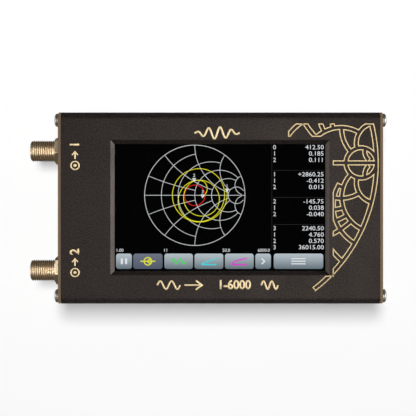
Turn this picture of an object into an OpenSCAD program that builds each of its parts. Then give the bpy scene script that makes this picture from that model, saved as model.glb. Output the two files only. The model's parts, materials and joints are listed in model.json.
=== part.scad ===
// Handheld two-port radio-frequency network analyzer.
// Origin: centre of the case's back face. +Z is the display side, the ports point along -X.

/* [Case] */
// Length of the case over both end plates
case_l = 137; // [134:0.5:145]
// Width of the case
case_w = 81; // [80:0.5:86]
// Height of the case
case_h = 27; // [27:0.25:28]
// Outer radius of the long edges
corner_r = 3; // [2.5:0.1:3.4]
// Wall thickness of the extruded shells
wall = 2; // [1.8:0.1:2]
// Thickness of each end plate
plate_t = 1.2; // [1:0.1:1.6]

/* [Display] */
// Length of the clear display window
window_l = 89; // [86:0.5:90]
// Width of the clear display window
window_w = 53.6; // [51:0.2:54]
// Width of the 45 degree chamfer round the window
window_chamfer = 1.7; // [1:0.1:1.7]
// Shift of the display along the case
display_x = -0.2; // [-0.5:0.1:0.5]
// Shift of the display across the case
display_y = 0.2; // [-0.5:0.1:0.5]

/* [Ports] */
// Distance between the two port axes
port_pitch = 51.7; // [48:0.1:52]
// Shift of both ports across the case
port_shift = -1.15; // [-1.2:0.05:0.5]
// Major radius of the port thread
thread_r = 4.5; // [4.4:0.1:4.8]
// Reach of the ports past the end plate
port_reach = 13.5; // [12:0.5:15]

/* [Power button] */
// Radius of the button cap
button_r = 2.9; // [2.5:0.1:3]
// Height of the cap over the end plate
button_proud = 0.9; // [0.5:0.1:1.2]
// Place of the button across the case
button_y = 12; // [10:0.5:16]

/* [Hidden] */
$fn = 48;

// Small gap between pieces that only just miss each other
gap = 0.1;
end_x = case_l / 2;              // outer face of the end plates
tube_l = case_l - 2 * plate_t;   // length of both shells
seam_z = case_h / 2;             // where the two shells meet
lap_h = 1.5;                     // depth of the lap joint along the seam
lap_t = wall / 2;                // thickness of the lap tongue

// Screw bosses that run the length of both shells
boss_y = case_w / 2 - 3.2;
boss_z = 4.2;
boss_r = 2.9;
boss_hole_r = 1.5;

// End plate screws
plate_hole_r = 1.7;
end_screw_l = 9;
end_head_r = 2.8;
end_head_h = 2;

// Main circuit board
board_t = 1.6;
port_z = case_h / 2;
board_top = port_z - 0.6;
board_x0 = -case_l / 2 + 2.9;
board_x1 = case_l / 2 - 3.3;
board_w = case_w - 2 * wall - 0.6;
ledge_w = 2.5;
ledge_h = 1.5;
rib_w = 2;

// Ports, measured outward from the inner face of the end plate
port_y = [port_shift + port_pitch / 2, port_shift - port_pitch / 2];
shoulder_r = 6.2;
shoulder_h = 1.6;
shank_r = 4.1;
washer_r = 6;
washer_t = 0.6;
nut_flats = 11;
nut_t = 2.6;
nut_turn = [20, 16];
jack_l = plate_t + port_reach;
mouth_r = 3.3;
mouth_depth = 2;
jack_bore_r = 3;
insulator_bore_r = 0.7;
contact_r = 0.6;
leg_l = 3.9;
leg_s = 1.2;
leg_y = 4.2;

// Display stack, from the front wall down
gasket_t = 0.5;
touch_t = 1.1;
lcd_t = 1.2;
guide_t = 1.8;
guide_inset = 1.5;
frame_floor = 0.8;
carrier_t = 1;
touch_z = case_h - wall - gasket_t - touch_t;
lcd_z = touch_z - lcd_t;
guide_z = lcd_z - guide_t;
frame_z = guide_z - frame_floor;
carrier_z = frame_z - carrier_t;
touch_l = window_l + 9;
touch_w = window_w + 6.4;
lcd_l = window_l + 4;
lcd_w = window_w + 3;
frame_rim = 1;

// Standoffs that carry the display on the board
standoff_x = 51;
standoff_y = 32;
standoff_flats = 4;
standoff_hole_r = 1.1;
small_screw_r = 1;
small_head_r = 2.1;
small_head_h = 1.3;

// Ribbon cables
flex_t = 0.2;
flex_bend = 1.5;
flex_drop_x = -51.5;
flex_in_x = -56;
flex_socket_z = board_top + 1.3;
display_flex_y = [-12, 2];
touch_flex_y = [5, 11];

// Power switch and its button
switch_z = board_top + 1.8;
switch_x = 60.2;
switch_l = 4.4;
plunger_r = 1.4;
plunger_x0 = switch_x + 1.9;
flange_r = 3.5;
flange_x0 = case_l / 2 - plate_t - 1.3;
flange_t = 1;
button_hole_r = button_r + gap;

// Charging socket and lights
usb_y = -20;
usb_w = 8.94;
usb_h = 3.2;
usb_l = 7.4;
usb_wall = 0.3;
usb_x0 = case_l / 2 - 0.2 - usb_l;
usb_z = board_top + usb_h / 2 + 0.05;
light_y = [-9, -5];
light_z = board_top + 1.1;
light_r = 1;

// Battery
battery_l = 88;
battery_w = 58;
battery_t = 6.5;
battery_x0 = -50;
battery_pad_t = 0.5;
battery_z = wall + battery_pad_t;
guard_l = 4;
lead_r = 0.6;
lead_sides = 8;
lead_end_x = 48.4;
lead_z = 8.65;
// Route of the upper lead; the lower lead mirrors it across the case
lead_route = [
    [41.8, 2.5, 6.4], [42.8, 2.6, 6.4], [44, 3.2, 6.8], [45.4, 3, 7.7],
    [46.6, 1.9, 8.4], [47.5, 1.2, 8.65], [48.4, 1.1, 8.65]
];

// ---------- shapes used by several pieces ----------

// Flat rounded rectangle, centred on x, standing on y = 0
module rounded_rect(w, h, r) {
    translate([-w / 2 + r, 0]) square([w - 2 * r, h]);
    translate([-w / 2, r]) square([w, h - 2 * r]);
    for (x = [-w / 2 + r, w / 2 - r], y = [r, h - r])
        translate([x, y]) circle(r = r);
}

// Extrudes a drawing of the case's cross-section (y across, z up) along the case
module along_case(x0, l) {
    translate([x0, 0, 0]) rotate([90, 0, 90]) linear_extrude(l) children();
}

// Turns a piece drawn along +Z so that it points out of the left end
module out_of_left(y) {
    translate([-end_x + plate_t, y, port_z]) rotate([0, -90, 0]) children();
}

// Box from its lowest corner to its highest
module block(low, high) {
    translate(low) cube(high - low);
}

// Domed screw with a cross recess, head above z = 0 and shank below
module domed_screw(head_r, head_h, shank_r, shank_l) {
    recess_w = 0.6;
    dome = 0.6 * head_h;
    dome_r = (head_r * head_r + dome * dome) / (2 * dome);
    difference() {
        union() {
            rotate_extrude()
                intersection() {
                    translate([0, head_h - dome_r]) circle(r = dome_r);
                    square([head_r, head_h]);
                }
            translate([0, 0, -shank_l]) cylinder(r = shank_r, h = shank_l + 0.2);
        }
        for (a = [0, 90])
            rotate(a) translate([-head_r / 2, -recess_w / 2, head_h / 2]) cube([head_r, recess_w, head_h]);
    }
}

// Box with an open underside, like a pressed shield can
module shield_can(low, high) {
    sheet = 0.3;
    difference() {
        block(low, high);
        block(low + [sheet, sheet, -1], high - [sheet, sheet, sheet]);
    }
}

// ---------- case ----------

module case_outline() {
    rounded_rect(case_w, case_h, corner_r);
}

module case_cavity() {
    translate([0, wall]) rounded_rect(case_w - 2 * wall, case_h - 2 * wall, corner_r - wall);
}

// Truncated pyramid that cuts the chamfered window; its corners are mitred
module window_cutter() {
    top = case_h + 1;
    low = case_h - window_chamfer;
    rise = top - low;
    translate([display_x, display_y, 0]) {
        intersection() {
            rotate([90, 0, 0])
                linear_extrude(case_w, center = true)
                    polygon([
                        [-window_l / 2, low], [window_l / 2, low],
                        [window_l / 2 + rise, top], [-window_l / 2 - rise, top]
                    ]);
            rotate([90, 0, 90])
                linear_extrude(case_l, center = true)
                    polygon([
                        [-window_w / 2, low], [window_w / 2, low],
                        [window_w / 2 + rise, top], [-window_w / 2 - rise, top]
                    ]);
        }
        translate([-window_l / 2, -window_w / 2, case_h - 2 * wall]) cube([window_l, window_w, 2 * wall]);
    }
}

module front_shell_section() {
    difference() {
        union() {
            difference() {
                intersection() {
                    case_outline();
                    translate([-case_w, seam_z]) square([2 * case_w, case_h]);
                }
                case_cavity();
            }
            for (s = [-1, 1]) {
                // lap tongue
                translate([s * (case_w / 2 - wall + lap_t / 2), seam_z]) square([lap_t, 2 * lap_h], center = true);
                // rib that holds the board down
                translate([s * (case_w / 2 - wall - rib_w / 2 + 0.05), board_top + ledge_h / 2])
                    square([rib_w + gap, ledge_h], center = true);
                translate([s * boss_y, case_h - boss_z]) circle(r = boss_r);
            }
        }
        for (s = [-1, 1])
            translate([s * boss_y, case_h - boss_z]) circle(r = boss_hole_r);
    }
}

module front_shell() {
    color("#2b2826")
        difference() {
            along_case(-tube_l / 2, tube_l) front_shell_section();
            window_cutter();
        }
}

module back_shell_section() {
    difference() {
        union() {
            difference() {
                intersection() {
                    case_outline();
                    translate([-case_w, seam_z - case_h]) square([2 * case_w, case_h]);
                }
                case_cavity();
            }
            for (s = [-1, 1]) {
                // ledge that carries the board
                translate([s * (case_w / 2 - wall - ledge_w / 2 + 0.05), board_top - board_t - ledge_h / 2])
                    square([ledge_w + gap, ledge_h], center = true);
                translate([s * boss_y, boss_z]) circle(r = boss_r);
            }
        }
        for (s = [-1, 1]) {
            // rebate for the lap tongue
            translate([s * (case_w / 2 - wall + lap_t / 2), seam_z])
                square([lap_t + gap, 2 * lap_h + gap], center = true);
            translate([s * boss_y, boss_z]) circle(r = boss_hole_r);
        }
    }
}

module back_shell() {
    color("#262422") along_case(-tube_l / 2, tube_l) back_shell_section();
}

// ---------- end plates ----------

module end_plate(x0) {
    along_case(x0, plate_t)
        difference() {
            case_outline();
            for (s = [-1, 1], z = [boss_z, case_h - boss_z])
                translate([s * boss_y, z]) circle(r = plate_hole_r);
            children();
        }
}

module left_end_plate() {
    color("#8a7755")
        end_plate(-end_x)
            for (y = port_y) translate([y, port_z]) circle(r = shank_r + gap);
}

// Slot for the charging plug, drawn in the case's cross-section
module usb_slot() {
    slot_r = usb_h / 2 + 0.25;
    for (s = [-1, 1])
        translate([usb_y + s * (usb_w - usb_h) / 2, usb_z]) circle(r = slot_r);
    translate([usb_y, usb_z]) square([usb_w - usb_h, 2 * slot_r], center = true);
}

module right_end_plate() {
    color("#8a7755")
        end_plate(end_x - plate_t) {
            usb_slot();
            translate([button_y, switch_z]) circle(r = button_hole_r);
            for (y = light_y) translate([y, light_z]) circle(r = light_r + 0.05);
        }
}

module end_screws() {
    for (s = [-1, 1], z = [boss_z, case_h - boss_z])
        translate([end_x, s * boss_y, z]) rotate([0, 90, 0])
            domed_screw(end_head_r, end_head_h, boss_hole_r - 0.05, end_screw_l);
}

module left_end_screws() {
    color("#c9c4ba") mirror([1, 0, 0]) end_screws();
}

module right_end_screws() {
    color("#c9c4ba") end_screws();
}

// ---------- ports ----------

module port_jack(i) {
    color("#b08d57")
        out_of_left(port_y[i]) {
            difference() {
                union() {
                    translate([0, 0, -shoulder_h]) cylinder(r = shoulder_r, h = shoulder_h);
                    translate([0, 0, -gap]) cylinder(r = shank_r, h = jack_l - 1);
                    // plain barrel at the thread's major diameter, with a chamfered mouth
                    translate([0, 0, plate_t + washer_t + nut_t])
                        rotate_extrude()
                            polygon([
                                [0, 0], [thread_r, 0],
                                [thread_r, port_reach - washer_t - nut_t - 0.5],
                                [thread_r - 0.5, port_reach - washer_t - nut_t],
                                [0, port_reach - washer_t - nut_t]
                            ]);
                    // legs that grip the edge of the board
                    for (s = [-1, 1], z = [-0.6, -0.6 - board_t - leg_s])
                        translate([z, s * leg_y - leg_s / 2, -shoulder_h - leg_l])
                            cube([leg_s, leg_s, leg_l + gap]);
                }
                translate([0, 0, -shoulder_h - 1]) cylinder(r = jack_bore_r, h = jack_l + shoulder_h + 2);
                translate([0, 0, jack_l - mouth_depth]) cylinder(r = mouth_r, h = mouth_depth + 1);
            }
        }
}

module port_insulator(i) {
    color("#f2efe6")
        out_of_left(port_y[i])
            difference() {
                translate([0, 0, -shoulder_h]) cylinder(r = jack_bore_r - 0.05, h = jack_l + shoulder_h - mouth_depth);
                translate([0, 0, -shoulder_h - 1]) cylinder(r = insulator_bore_r, h = jack_l + shoulder_h);
            }
}

// Centre contact: a socket at the mouth and a solder pin over the board
module port_contact(i) {
    color("#d8b25a")
        out_of_left(port_y[i])
            difference() {
                union() {
                    translate([0, 0, -shoulder_h]) cylinder(r = contact_r, h = jack_l + shoulder_h - mouth_depth);
                    translate([0, 0, -shoulder_h - leg_l]) cylinder(r = contact_r - gap, h = leg_l + gap);
                }
                translate([0, 0, jack_l - mouth_depth - 5]) cylinder(r = contact_r / 2, h = 6);
            }
}

module port_washer(i) {
    color("#c8a870")
        out_of_left(port_y[i])
            translate([0, 0, plate_t])
                difference() {
                    cylinder(r = washer_r, h = washer_t);
                    translate([0, 0, -1]) cylinder(r = shank_r + gap, h = washer_t + 2);
                }
}

// Hexagon nut with its outer corners turned down to a cone
module port_nut(i) {
    corner = nut_flats / 2 / cos(30);
    chamfer_z = nut_t / 2 - 0.25;
    color("#c8a870")
        out_of_left(port_y[i])
            translate([0, 0, plate_t + washer_t])
                difference() {
                    intersection() {
                        rotate(nut_turn[i] + 90) cylinder(r = corner, h = nut_t, $fn = 6);
                        rotate_extrude()
                            polygon([
                                [0, 0], [corner + 1, 0], [corner + 1, chamfer_z],
                                [nut_flats / 2 - 0.5, nut_t], [0, nut_t]
                            ]);
                    }
                    translate([0, 0, -1]) cylinder(r = shank_r + 0.05, h = nut_t + 2);
                }
}

module port_1_jack() port_jack(0);
module port_1_insulator() port_insulator(0);
module port_1_contact() port_contact(0);
module port_1_washer() port_washer(0);
module port_1_nut() port_nut(0);
module port_2_jack() port_jack(1);
module port_2_insulator() port_insulator(1);
module port_2_contact() port_contact(1);
module port_2_washer() port_washer(1);
module port_2_nut() port_nut(1);

// ---------- display ----------

// Plate centred under the window
module display_plate(l, w, z0, t) {
    translate([display_x - l / 2, display_y - w / 2, z0]) cube([l, w, t]);
}

module display_gasket() {
    color("#141414")
        difference() {
            display_plate(touch_l - 1, touch_w - 1, touch_z + touch_t, gasket_t);
            display_plate(window_l + 0.8, window_w + 0.8, touch_z, 2 * touch_t);
        }
}

module touch_panel() {
    color("#9fb0b8", 0.3) display_plate(touch_l, touch_w, touch_z, touch_t);
}

module lcd_panel() {
    color("#050505") display_plate(lcd_l, lcd_w, lcd_z, lcd_t);
}

module light_guide() {
    color("#e8ecee") display_plate(lcd_l - 2 * guide_inset, lcd_w - 2 * guide_inset, guide_z, guide_t);
}

module display_frame() {
    color("#d8d8d6")
        difference() {
            display_plate(lcd_l + 2 * frame_rim, lcd_w + 2 * frame_rim, frame_z, touch_z - frame_z);
            display_plate(lcd_l + gap, lcd_w + gap, guide_z, case_h);
            // way out for the display's ribbon cable
            block(
                [display_x - lcd_l, display_flex_y[0] - 0.4, lcd_z - 0.4],
                [display_x - lcd_l / 2 + 1, display_flex_y[1] + 0.4, lcd_z + 0.1]
            );
        }
}

module display_carrier() {
    carrier_l = 2 * standoff_x + 6;
    carrier_w = 2 * standoff_y + 5.5;
    color("#b9bcc0")
        difference() {
            translate([-carrier_l / 2, -carrier_w / 2, carrier_z]) cube([carrier_l, carrier_w, carrier_t]);
            for (x = [-standoff_x, standoff_x], y = [-standoff_y, standoff_y])
                translate([x, y, 0]) cylinder(r = standoff_hole_r, h = case_h);
            // notch for both ribbon cables
            block(
                [-carrier_l, display_flex_y[0] - 1, 0],
                [flex_drop_x + 1.5, touch_flex_y[1] + 1, case_h]
            );
        }
}

// Ribbon cable seen from its side: out of the display, down and into a socket
module flex_path(x0, z0) {
    half = flex_t / 2;
    translate([flex_drop_x + flex_bend, z0 - half]) square([x0 - flex_drop_x - flex_bend, flex_t]);
    quarter_bend([flex_drop_x + flex_bend, z0 - flex_bend], [-1, 1]);
    translate([flex_drop_x - half, flex_socket_z + flex_bend])
        square([flex_t, z0 - flex_socket_z - 2 * flex_bend]);
    quarter_bend([flex_drop_x - flex_bend, flex_socket_z + flex_bend], [1, -1]);
    translate([flex_in_x, flex_socket_z - half]) square([flex_drop_x - flex_bend - flex_in_x, flex_t]);
}

module quarter_bend(centre, side) {
    translate(centre)
        intersection() {
            difference() {
                circle(r = flex_bend + flex_t / 2);
                circle(r = flex_bend - flex_t / 2);
            }
            scale_square(side);
        }
}

// The quarter of the plane that side points into
module scale_square(side) {
    translate([min(0, side[0] * 4), min(0, side[1] * 4)]) square(4);
}

module ribbon(y, x0, z0) {
    color("#b5722e")
        translate([0, y[1], 0]) rotate([90, 0, 0]) linear_extrude(y[1] - y[0]) flex_path(x0, z0);
}

module display_flex() {
    ribbon(display_flex_y, display_x - lcd_l / 2 + 0.8, lcd_z - flex_t / 2);
}

module touch_flex() {
    ribbon(touch_flex_y, display_x - touch_l / 2 + 0.6, touch_z - flex_t / 2);
}

module display_standoffs() {
    color("#c9a24b")
        for (x = [-standoff_x, standoff_x], y = [-standoff_y, standoff_y])
            translate([x, y, board_top])
                difference() {
                    cylinder(r = standoff_flats / 2 / cos(30), h = carrier_z - board_top, $fn = 6);
                    translate([0, 0, -1]) cylinder(r = standoff_hole_r, h = case_h);
                }
}

module upper_standoff_screws() {
    color("#c9c4ba")
        for (x = [-standoff_x, standoff_x], y = [-standoff_y, standoff_y])
            translate([x, y, carrier_z + carrier_t])
                domed_screw(small_head_r, small_head_h, small_screw_r, 3.4);
}

module lower_standoff_screws() {
    color("#c9c4ba")
        for (x = [-standoff_x, standoff_x], y = [-standoff_y, standoff_y])
            translate([x, y, board_top - board_t]) mirror([0, 0, 1])
                domed_screw(small_head_r, small_head_h, small_screw_r, 3.8);
}

// ---------- main board ----------

module main_board() {
    color("#1c4a2c")
        difference() {
            block([board_x0, -board_w / 2, board_top - board_t], [board_x1, board_w / 2, board_top]);
            for (x = [-standoff_x, standoff_x], y = [-standoff_y, standoff_y])
                translate([x, y, 0]) cylinder(r = standoff_hole_r, h = case_h);
        }
}

// Outlines of the three shield cans on the board: x from, x to, y from, y to
port_1_can = [-60, -18, 13.2, 29.4];
port_2_can = [-60, -18, -29.4, -13.2];
synth_can = [-12, 16, 2, 29.4];
can_h = 3;

// Places along the case of the three power supplies
supply_x = [24, 34, 44];

module board_can(c) {
    color("#b4b6b8")
        shield_can([c[0], c[2], board_top], [c[1], c[3], board_top + can_h]);
}

module port_1_shield() board_can(port_1_can);
module port_2_shield() board_can(port_2_can);
module synthesizer_shield() board_can(synth_can);

// Flat package on the board, centred on x and y
module chip(x, y, l, w, h) {
    translate([x - l / 2, y - w / 2, board_top]) cube([l, w, h]);
}

module receiver_chips() {
    color("#202020")
        for (c = [port_1_can, port_2_can], x = [-50, -38, -26])
            chip(x, (c[2] + c[3]) / 2, 5, 5, 0.9);
}

module processor_chip() {
    color("#202020") chip(32, 18, 14, 14, 1.4);
}

module logic_chip() {
    color("#202020") chip(2, -14, 17, 17, 1.5);
}

module memory_chip() {
    color("#202020") chip(32, 0, 11, 8, 1);
}

module regulator_chips() {
    color("#202020")
        for (x = supply_x) chip(x, -20, 4, 4, 0.9);
}

module power_inductors() {
    color("#4a4a4c")
        for (x = supply_x) chip(x, -28, 5, 5, 2.8);
}

module reference_oscillator() {
    color("#d6cfae") chip(2, 14, 7, 5, 1.6);
}

module capacitors() {
    color("#a98a5f") {
        for (x = [22:2.5:42], y = [7.6, 28.4]) chip(x, y, 0.9, 1.7, 0.9);
        for (x = [-6:4:10], y = [-26.2, -3.4]) chip(x, y, 0.9, 1.7, 0.9);
        for (x = supply_x, d = [-3.4, 3.4]) chip(x + d, -20, 0.9, 1.7, 0.9);
    }
}

// Low socket that takes a ribbon cable from the right
module ribbon_socket(y) {
    color("#e9e2cf")
        difference() {
            block([flex_in_x - 2.5, y[0] - 1, board_top], [flex_in_x + 2.5, y[1] + 1, board_top + 2]);
            block(
                [flex_in_x, y[0] - gap, flex_socket_z - flex_t / 2 - gap],
                [flex_in_x + 4, y[1] + gap, flex_socket_z + flex_t / 2 + gap]
            );
        }
}

module display_flex_socket() ribbon_socket(display_flex_y);
module touch_flex_socket() ribbon_socket(touch_flex_y);

// ---------- charging socket, lights and power switch ----------

module usb_section(inset) {
    r = usb_h / 2 - inset;
    for (s = [-1, 1])
        translate([usb_y + s * (usb_w - usb_h) / 2, usb_z]) circle(r = r);
    translate([usb_y, usb_z]) square([usb_w - usb_h, 2 * r], center = true);
}

module usb_shell() {
    color("#c4c6c8")
        difference() {
            along_case(usb_x0, usb_l) usb_section(0);
            along_case(usb_x0 + 1.2, usb_l) usb_section(usb_wall);
        }
}

module usb_tongue() {
    color("#151515")
        block([usb_x0 + 1.2, usb_y - 3.35, usb_z - 0.35], [usb_x0 + 6.4, usb_y + 3.35, usb_z + 0.35]);
}

module status_leds() {
    color("#e8f0d8")
        for (y = light_y)
            block([board_x1 - 1.4, y - 0.8, board_top], [board_x1, y + 0.8, board_top + 1.6]);
}

module light_pipes() {
    color("#dfe8ea", 0.6)
        for (y = light_y)
            translate([board_x1 + gap, y, light_z]) rotate([0, 90, 0])
                cylinder(r = light_r, h = end_x + 0.2 - board_x1 - gap);
}

module power_switch() {
    color("#2a2a2a")
        difference() {
            block([switch_x, button_y - 3.1, board_top], [switch_x + switch_l, button_y + 3.1, board_top + 3.6]);
            translate([plunger_x0 - 0.5, button_y, switch_z]) rotate([0, 90, 0])
                cylinder(r = plunger_r + gap, h = switch_l);
        }
}

module switch_plunger() {
    color("#101010")
        translate([plunger_x0, button_y, switch_z]) rotate([0, 90, 0])
            cylinder(r = plunger_r, h = flange_x0 - plunger_x0);
}

module power_button() {
    color("#1b1a19")
        translate([flange_x0, button_y, switch_z]) rotate([0, 90, 0]) {
            cylinder(r = flange_r, h = flange_t);
            cylinder(r = button_r, h = end_x + button_proud - flange_x0);
        }
}

// ---------- battery ----------

module battery() {
    color("#b9bdc2")
        translate([battery_x0 + battery_l / 2, 0, battery_z])
            linear_extrude(battery_t)
                translate([0, -battery_w / 2]) rounded_rect(battery_l, battery_w, 2);
}

module battery_guard_board() {
    color("#2f5d3a")
        block(
            [battery_x0 + battery_l, -12, battery_z + 2.5],
            [battery_x0 + battery_l + guard_l - 0.2, 12, battery_z + 4.5]
        );
}

module battery_pad() {
    color("#d9d6cc")
        block([battery_x0 + 6, -battery_w / 2 + 6, wall], [battery_x0 + battery_l - 6, battery_w / 2 - 6, battery_z]);
}

// Point at t (0 to 1) between p[i] and p[i + 1] on a smooth curve through the route
function route_at(p, i, t) =
    let (
        n = len(p),
        a = p[max(i - 1, 0)], b = p[i], c = p[i + 1], d = p[min(i + 2, n - 1)]
    )
    0.5 * (2 * b + (c - a) * t + (2 * a - 5 * b + 4 * c - d) * t * t + (3 * b - a - 3 * c + d) * t * t * t);

function unit(v) = v / norm(v);

function smooth_route(p, steps) = concat(
    [for (i = [0:len(p) - 2], k = [0:steps - 1]) route_at(p, i, k / steps)],
    [p[len(p) - 1]]
);

// Ring of points round q[i]; the two end rings stand square to the faces they meet
function route_ring(q, i) =
    let (
        n = len(q),
        inner = i > 0 && i < n - 1,
        along = inner ? unit(q[i + 1] - q[i - 1]) : [1, 0, 0],
        side = unit(cross(along, [0, 0, 1])),
        up = cross(side, along)
    )
    [for (k = [0:lead_sides - 1])
        q[i] + lead_r * (cos(360 * k / lead_sides) * side + sin(360 * k / lead_sides) * up)];

// Round lead swept along a route
module lead(route) {
    q = smooth_route(route, 3);
    n = len(q);
    points = [for (i = [0:n - 1]) each route_ring(q, i)];
    sides = [for (i = [0:n - 2], k = [0:lead_sides - 1])
        [i * lead_sides + k, (i + 1) * lead_sides + k,
         (i + 1) * lead_sides + (k + 1) % lead_sides, i * lead_sides + (k + 1) % lead_sides]];
    first = [for (k = [0:lead_sides - 1]) k];
    last = [for (k = [lead_sides - 1:-1:0]) (n - 1) * lead_sides + k];
    polyhedron(points, concat([first], sides, [last]), convexity = 4);
}

module battery_lead_red() {
    color("#b01c1c") lead(lead_route);
}

module battery_lead_black() {
    color("#161616") lead([for (p = lead_route) [p[0], -p[1], p[2]]]);
}

module battery_plug() {
    color("#efe9d8") block([lead_end_x, -2.9, lead_z - 1.5], [lead_end_x + 8.4, 2.9, lead_z + 1.5]);
}

module battery_socket() {
    color("#efe9d8")
        difference() {
            block([lead_end_x + 2.6, -4, lead_z - 2.65], [lead_end_x + 10.1, 4, board_top - board_t]);
            block([lead_end_x, -3, lead_z - 1.6], [lead_end_x + 8.5, 3, lead_z + 1.6]);
        }
}

// ---------- one line for each node ----------

front_shell();
back_shell();
left_end_plate();
right_end_plate();
left_end_screws();
right_end_screws();
port_1_jack();
port_1_insulator();
port_1_contact();
port_1_washer();
port_1_nut();
port_2_jack();
port_2_insulator();
port_2_contact();
port_2_washer();
port_2_nut();
display_gasket();
touch_panel();
lcd_panel();
light_guide();
display_frame();
display_carrier();
display_flex();
touch_flex();
display_standoffs();
upper_standoff_screws();
lower_standoff_screws();
main_board();
port_1_shield();
port_2_shield();
synthesizer_shield();
receiver_chips();
processor_chip();
logic_chip();
memory_chip();
regulator_chips();
power_inductors();
capacitors();
reference_oscillator();
display_flex_socket();
touch_flex_socket();
usb_shell();
usb_tongue();
status_leds();
light_pipes();
power_switch();
switch_plunger();
power_button();
battery();
battery_guard_board();
battery_pad();
battery_lead_red();
battery_lead_black();
battery_plug();
battery_socket();
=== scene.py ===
import json
import math

import bpy
from mathutils import Matrix, Vector

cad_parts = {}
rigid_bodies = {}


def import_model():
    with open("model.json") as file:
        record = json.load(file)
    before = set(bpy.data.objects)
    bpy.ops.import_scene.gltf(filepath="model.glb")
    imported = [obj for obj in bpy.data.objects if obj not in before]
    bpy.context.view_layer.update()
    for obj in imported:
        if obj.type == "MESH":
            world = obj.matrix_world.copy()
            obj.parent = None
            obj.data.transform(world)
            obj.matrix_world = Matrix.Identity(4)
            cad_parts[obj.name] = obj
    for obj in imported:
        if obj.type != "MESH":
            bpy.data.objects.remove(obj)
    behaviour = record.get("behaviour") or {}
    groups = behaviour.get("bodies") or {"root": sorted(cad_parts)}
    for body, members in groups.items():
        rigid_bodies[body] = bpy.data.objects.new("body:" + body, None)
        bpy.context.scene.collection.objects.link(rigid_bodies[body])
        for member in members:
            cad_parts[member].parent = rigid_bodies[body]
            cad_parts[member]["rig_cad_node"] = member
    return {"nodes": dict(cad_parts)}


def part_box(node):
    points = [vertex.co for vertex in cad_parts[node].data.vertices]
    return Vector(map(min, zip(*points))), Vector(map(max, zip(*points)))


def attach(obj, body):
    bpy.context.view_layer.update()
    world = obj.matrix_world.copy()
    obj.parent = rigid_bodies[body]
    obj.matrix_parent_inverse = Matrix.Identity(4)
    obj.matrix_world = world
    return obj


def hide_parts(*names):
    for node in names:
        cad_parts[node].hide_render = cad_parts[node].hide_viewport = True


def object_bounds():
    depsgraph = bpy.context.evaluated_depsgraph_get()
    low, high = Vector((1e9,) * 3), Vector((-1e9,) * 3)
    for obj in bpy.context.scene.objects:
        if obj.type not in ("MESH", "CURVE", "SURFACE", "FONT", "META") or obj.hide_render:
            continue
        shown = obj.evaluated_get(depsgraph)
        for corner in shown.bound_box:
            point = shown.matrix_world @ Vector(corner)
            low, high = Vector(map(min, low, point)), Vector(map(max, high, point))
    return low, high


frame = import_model()
cad_low, cad_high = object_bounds()
nodes = frame["nodes"]
mm = 0.001

# ---------------------------------------------------------------------------
# Studio: the camera looks straight down on the display from arm's length, a
# little to one side, over a white table that takes one soft shadow.
# ---------------------------------------------------------------------------
face_z = cad_high.z
camera_height = 0.430
width_in_view = 0.1752
bpy.ops.object.camera_add(location=(0, 0, face_z + camera_height))
camera = bpy.context.object
camera.data.sensor_width = 36
camera.data.lens = 36 * camera_height / width_in_view
camera.data.shift_x = -0.030
bpy.context.scene.camera = camera
bpy.context.scene.view_settings.view_transform = "Standard"


def lay_out(tree, **effects):
    """Frame the nodes of a material by effect, one row of nodes for each."""
    for row, (effect, members) in enumerate(effects.items()):
        border = tree.nodes.new("NodeFrame")
        border.label = effect.replace("_", " ")
        for column, node in enumerate(members):
            node.parent = border
            node.location = (240 * column, -320 * row)


def paper_white():
    """The table top: matt white paper with a faint tooth."""
    material = bpy.data.materials.new("paper_white")
    material.use_nodes = True
    tree = material.node_tree
    tree.nodes.clear()
    place = tree.nodes.new("ShaderNodeTexCoord")
    place.label = "place on the table"
    fibre = tree.nodes.new("ShaderNodeTexNoise")
    fibre.label = "paper fibre"
    fibre.inputs["Scale"].default_value = 900
    tooth = tree.nodes.new("ShaderNodeBump")
    tooth.label = "paper tooth"
    tooth.inputs["Strength"].default_value = 0.05
    tooth.inputs["Distance"].default_value = 0.00002
    paper = tree.nodes.new("ShaderNodeBsdfPrincipled")
    paper.label = "paper"
    paper.inputs["Base Color"].default_value = (0.9, 0.9, 0.9, 1)
    paper.inputs["Roughness"].default_value = 0.9
    paper.inputs["Specular IOR Level"].default_value = 0.1
    output = tree.nodes.new("ShaderNodeOutputMaterial")
    output.label = "table top"
    tree.links.new(place.outputs["Object"], fibre.inputs["Vector"])
    tree.links.new(fibre.outputs["Fac"], tooth.inputs["Height"])
    tree.links.new(tooth.outputs["Normal"], paper.inputs["Normal"])
    tree.links.new(paper.outputs["BSDF"], output.inputs["Surface"])
    lay_out(tree, tooth_of_the_paper=[place, fibre, tooth], paper=[paper, output])
    return material


bpy.ops.mesh.primitive_plane_add(size=6, location=(0, 0, cad_low.z - 0.02 * mm))
table = bpy.context.object
table.name = "table"
table.data.materials.append(paper_white())
table.visible_glossy = False

world = bpy.data.worlds.new("studio")
bpy.context.scene.world = world
world.use_nodes = True
sky = world.node_tree
sky.nodes.clear()
sky_side = sky.nodes.new("ShaderNodeTexCoord")
sky_side.label = "direction in the room"
sky_parts = sky.nodes.new("ShaderNodeSeparateXYZ")
sky_parts.label = "height in the room"
sky_ramp = sky.nodes.new("ShaderNodeValToRGB")
sky_ramp.label = "pale walls, dark ceiling"
sky_ramp.color_ramp.elements[0].position = 0.02
sky_ramp.color_ramp.elements[0].color = (0.2, 0.2, 0.205, 1)
sky_ramp.color_ramp.elements[1].position = 0.9
sky_ramp.color_ramp.elements[1].color = (0.02, 0.02, 0.02, 1)
sky_light = sky.nodes.new("ShaderNodeBackground")
sky_light.label = "room light"
sky_light.inputs["Strength"].default_value = 0.5
sky_output = sky.nodes.new("ShaderNodeOutputWorld")
sky_output.label = "studio"
sky.links.new(sky_side.outputs["Generated"], sky_parts.inputs["Vector"])
sky.links.new(sky_parts.outputs["Z"], sky_ramp.inputs["Fac"])
sky.links.new(sky_ramp.outputs["Color"], sky_light.inputs["Color"])
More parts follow.
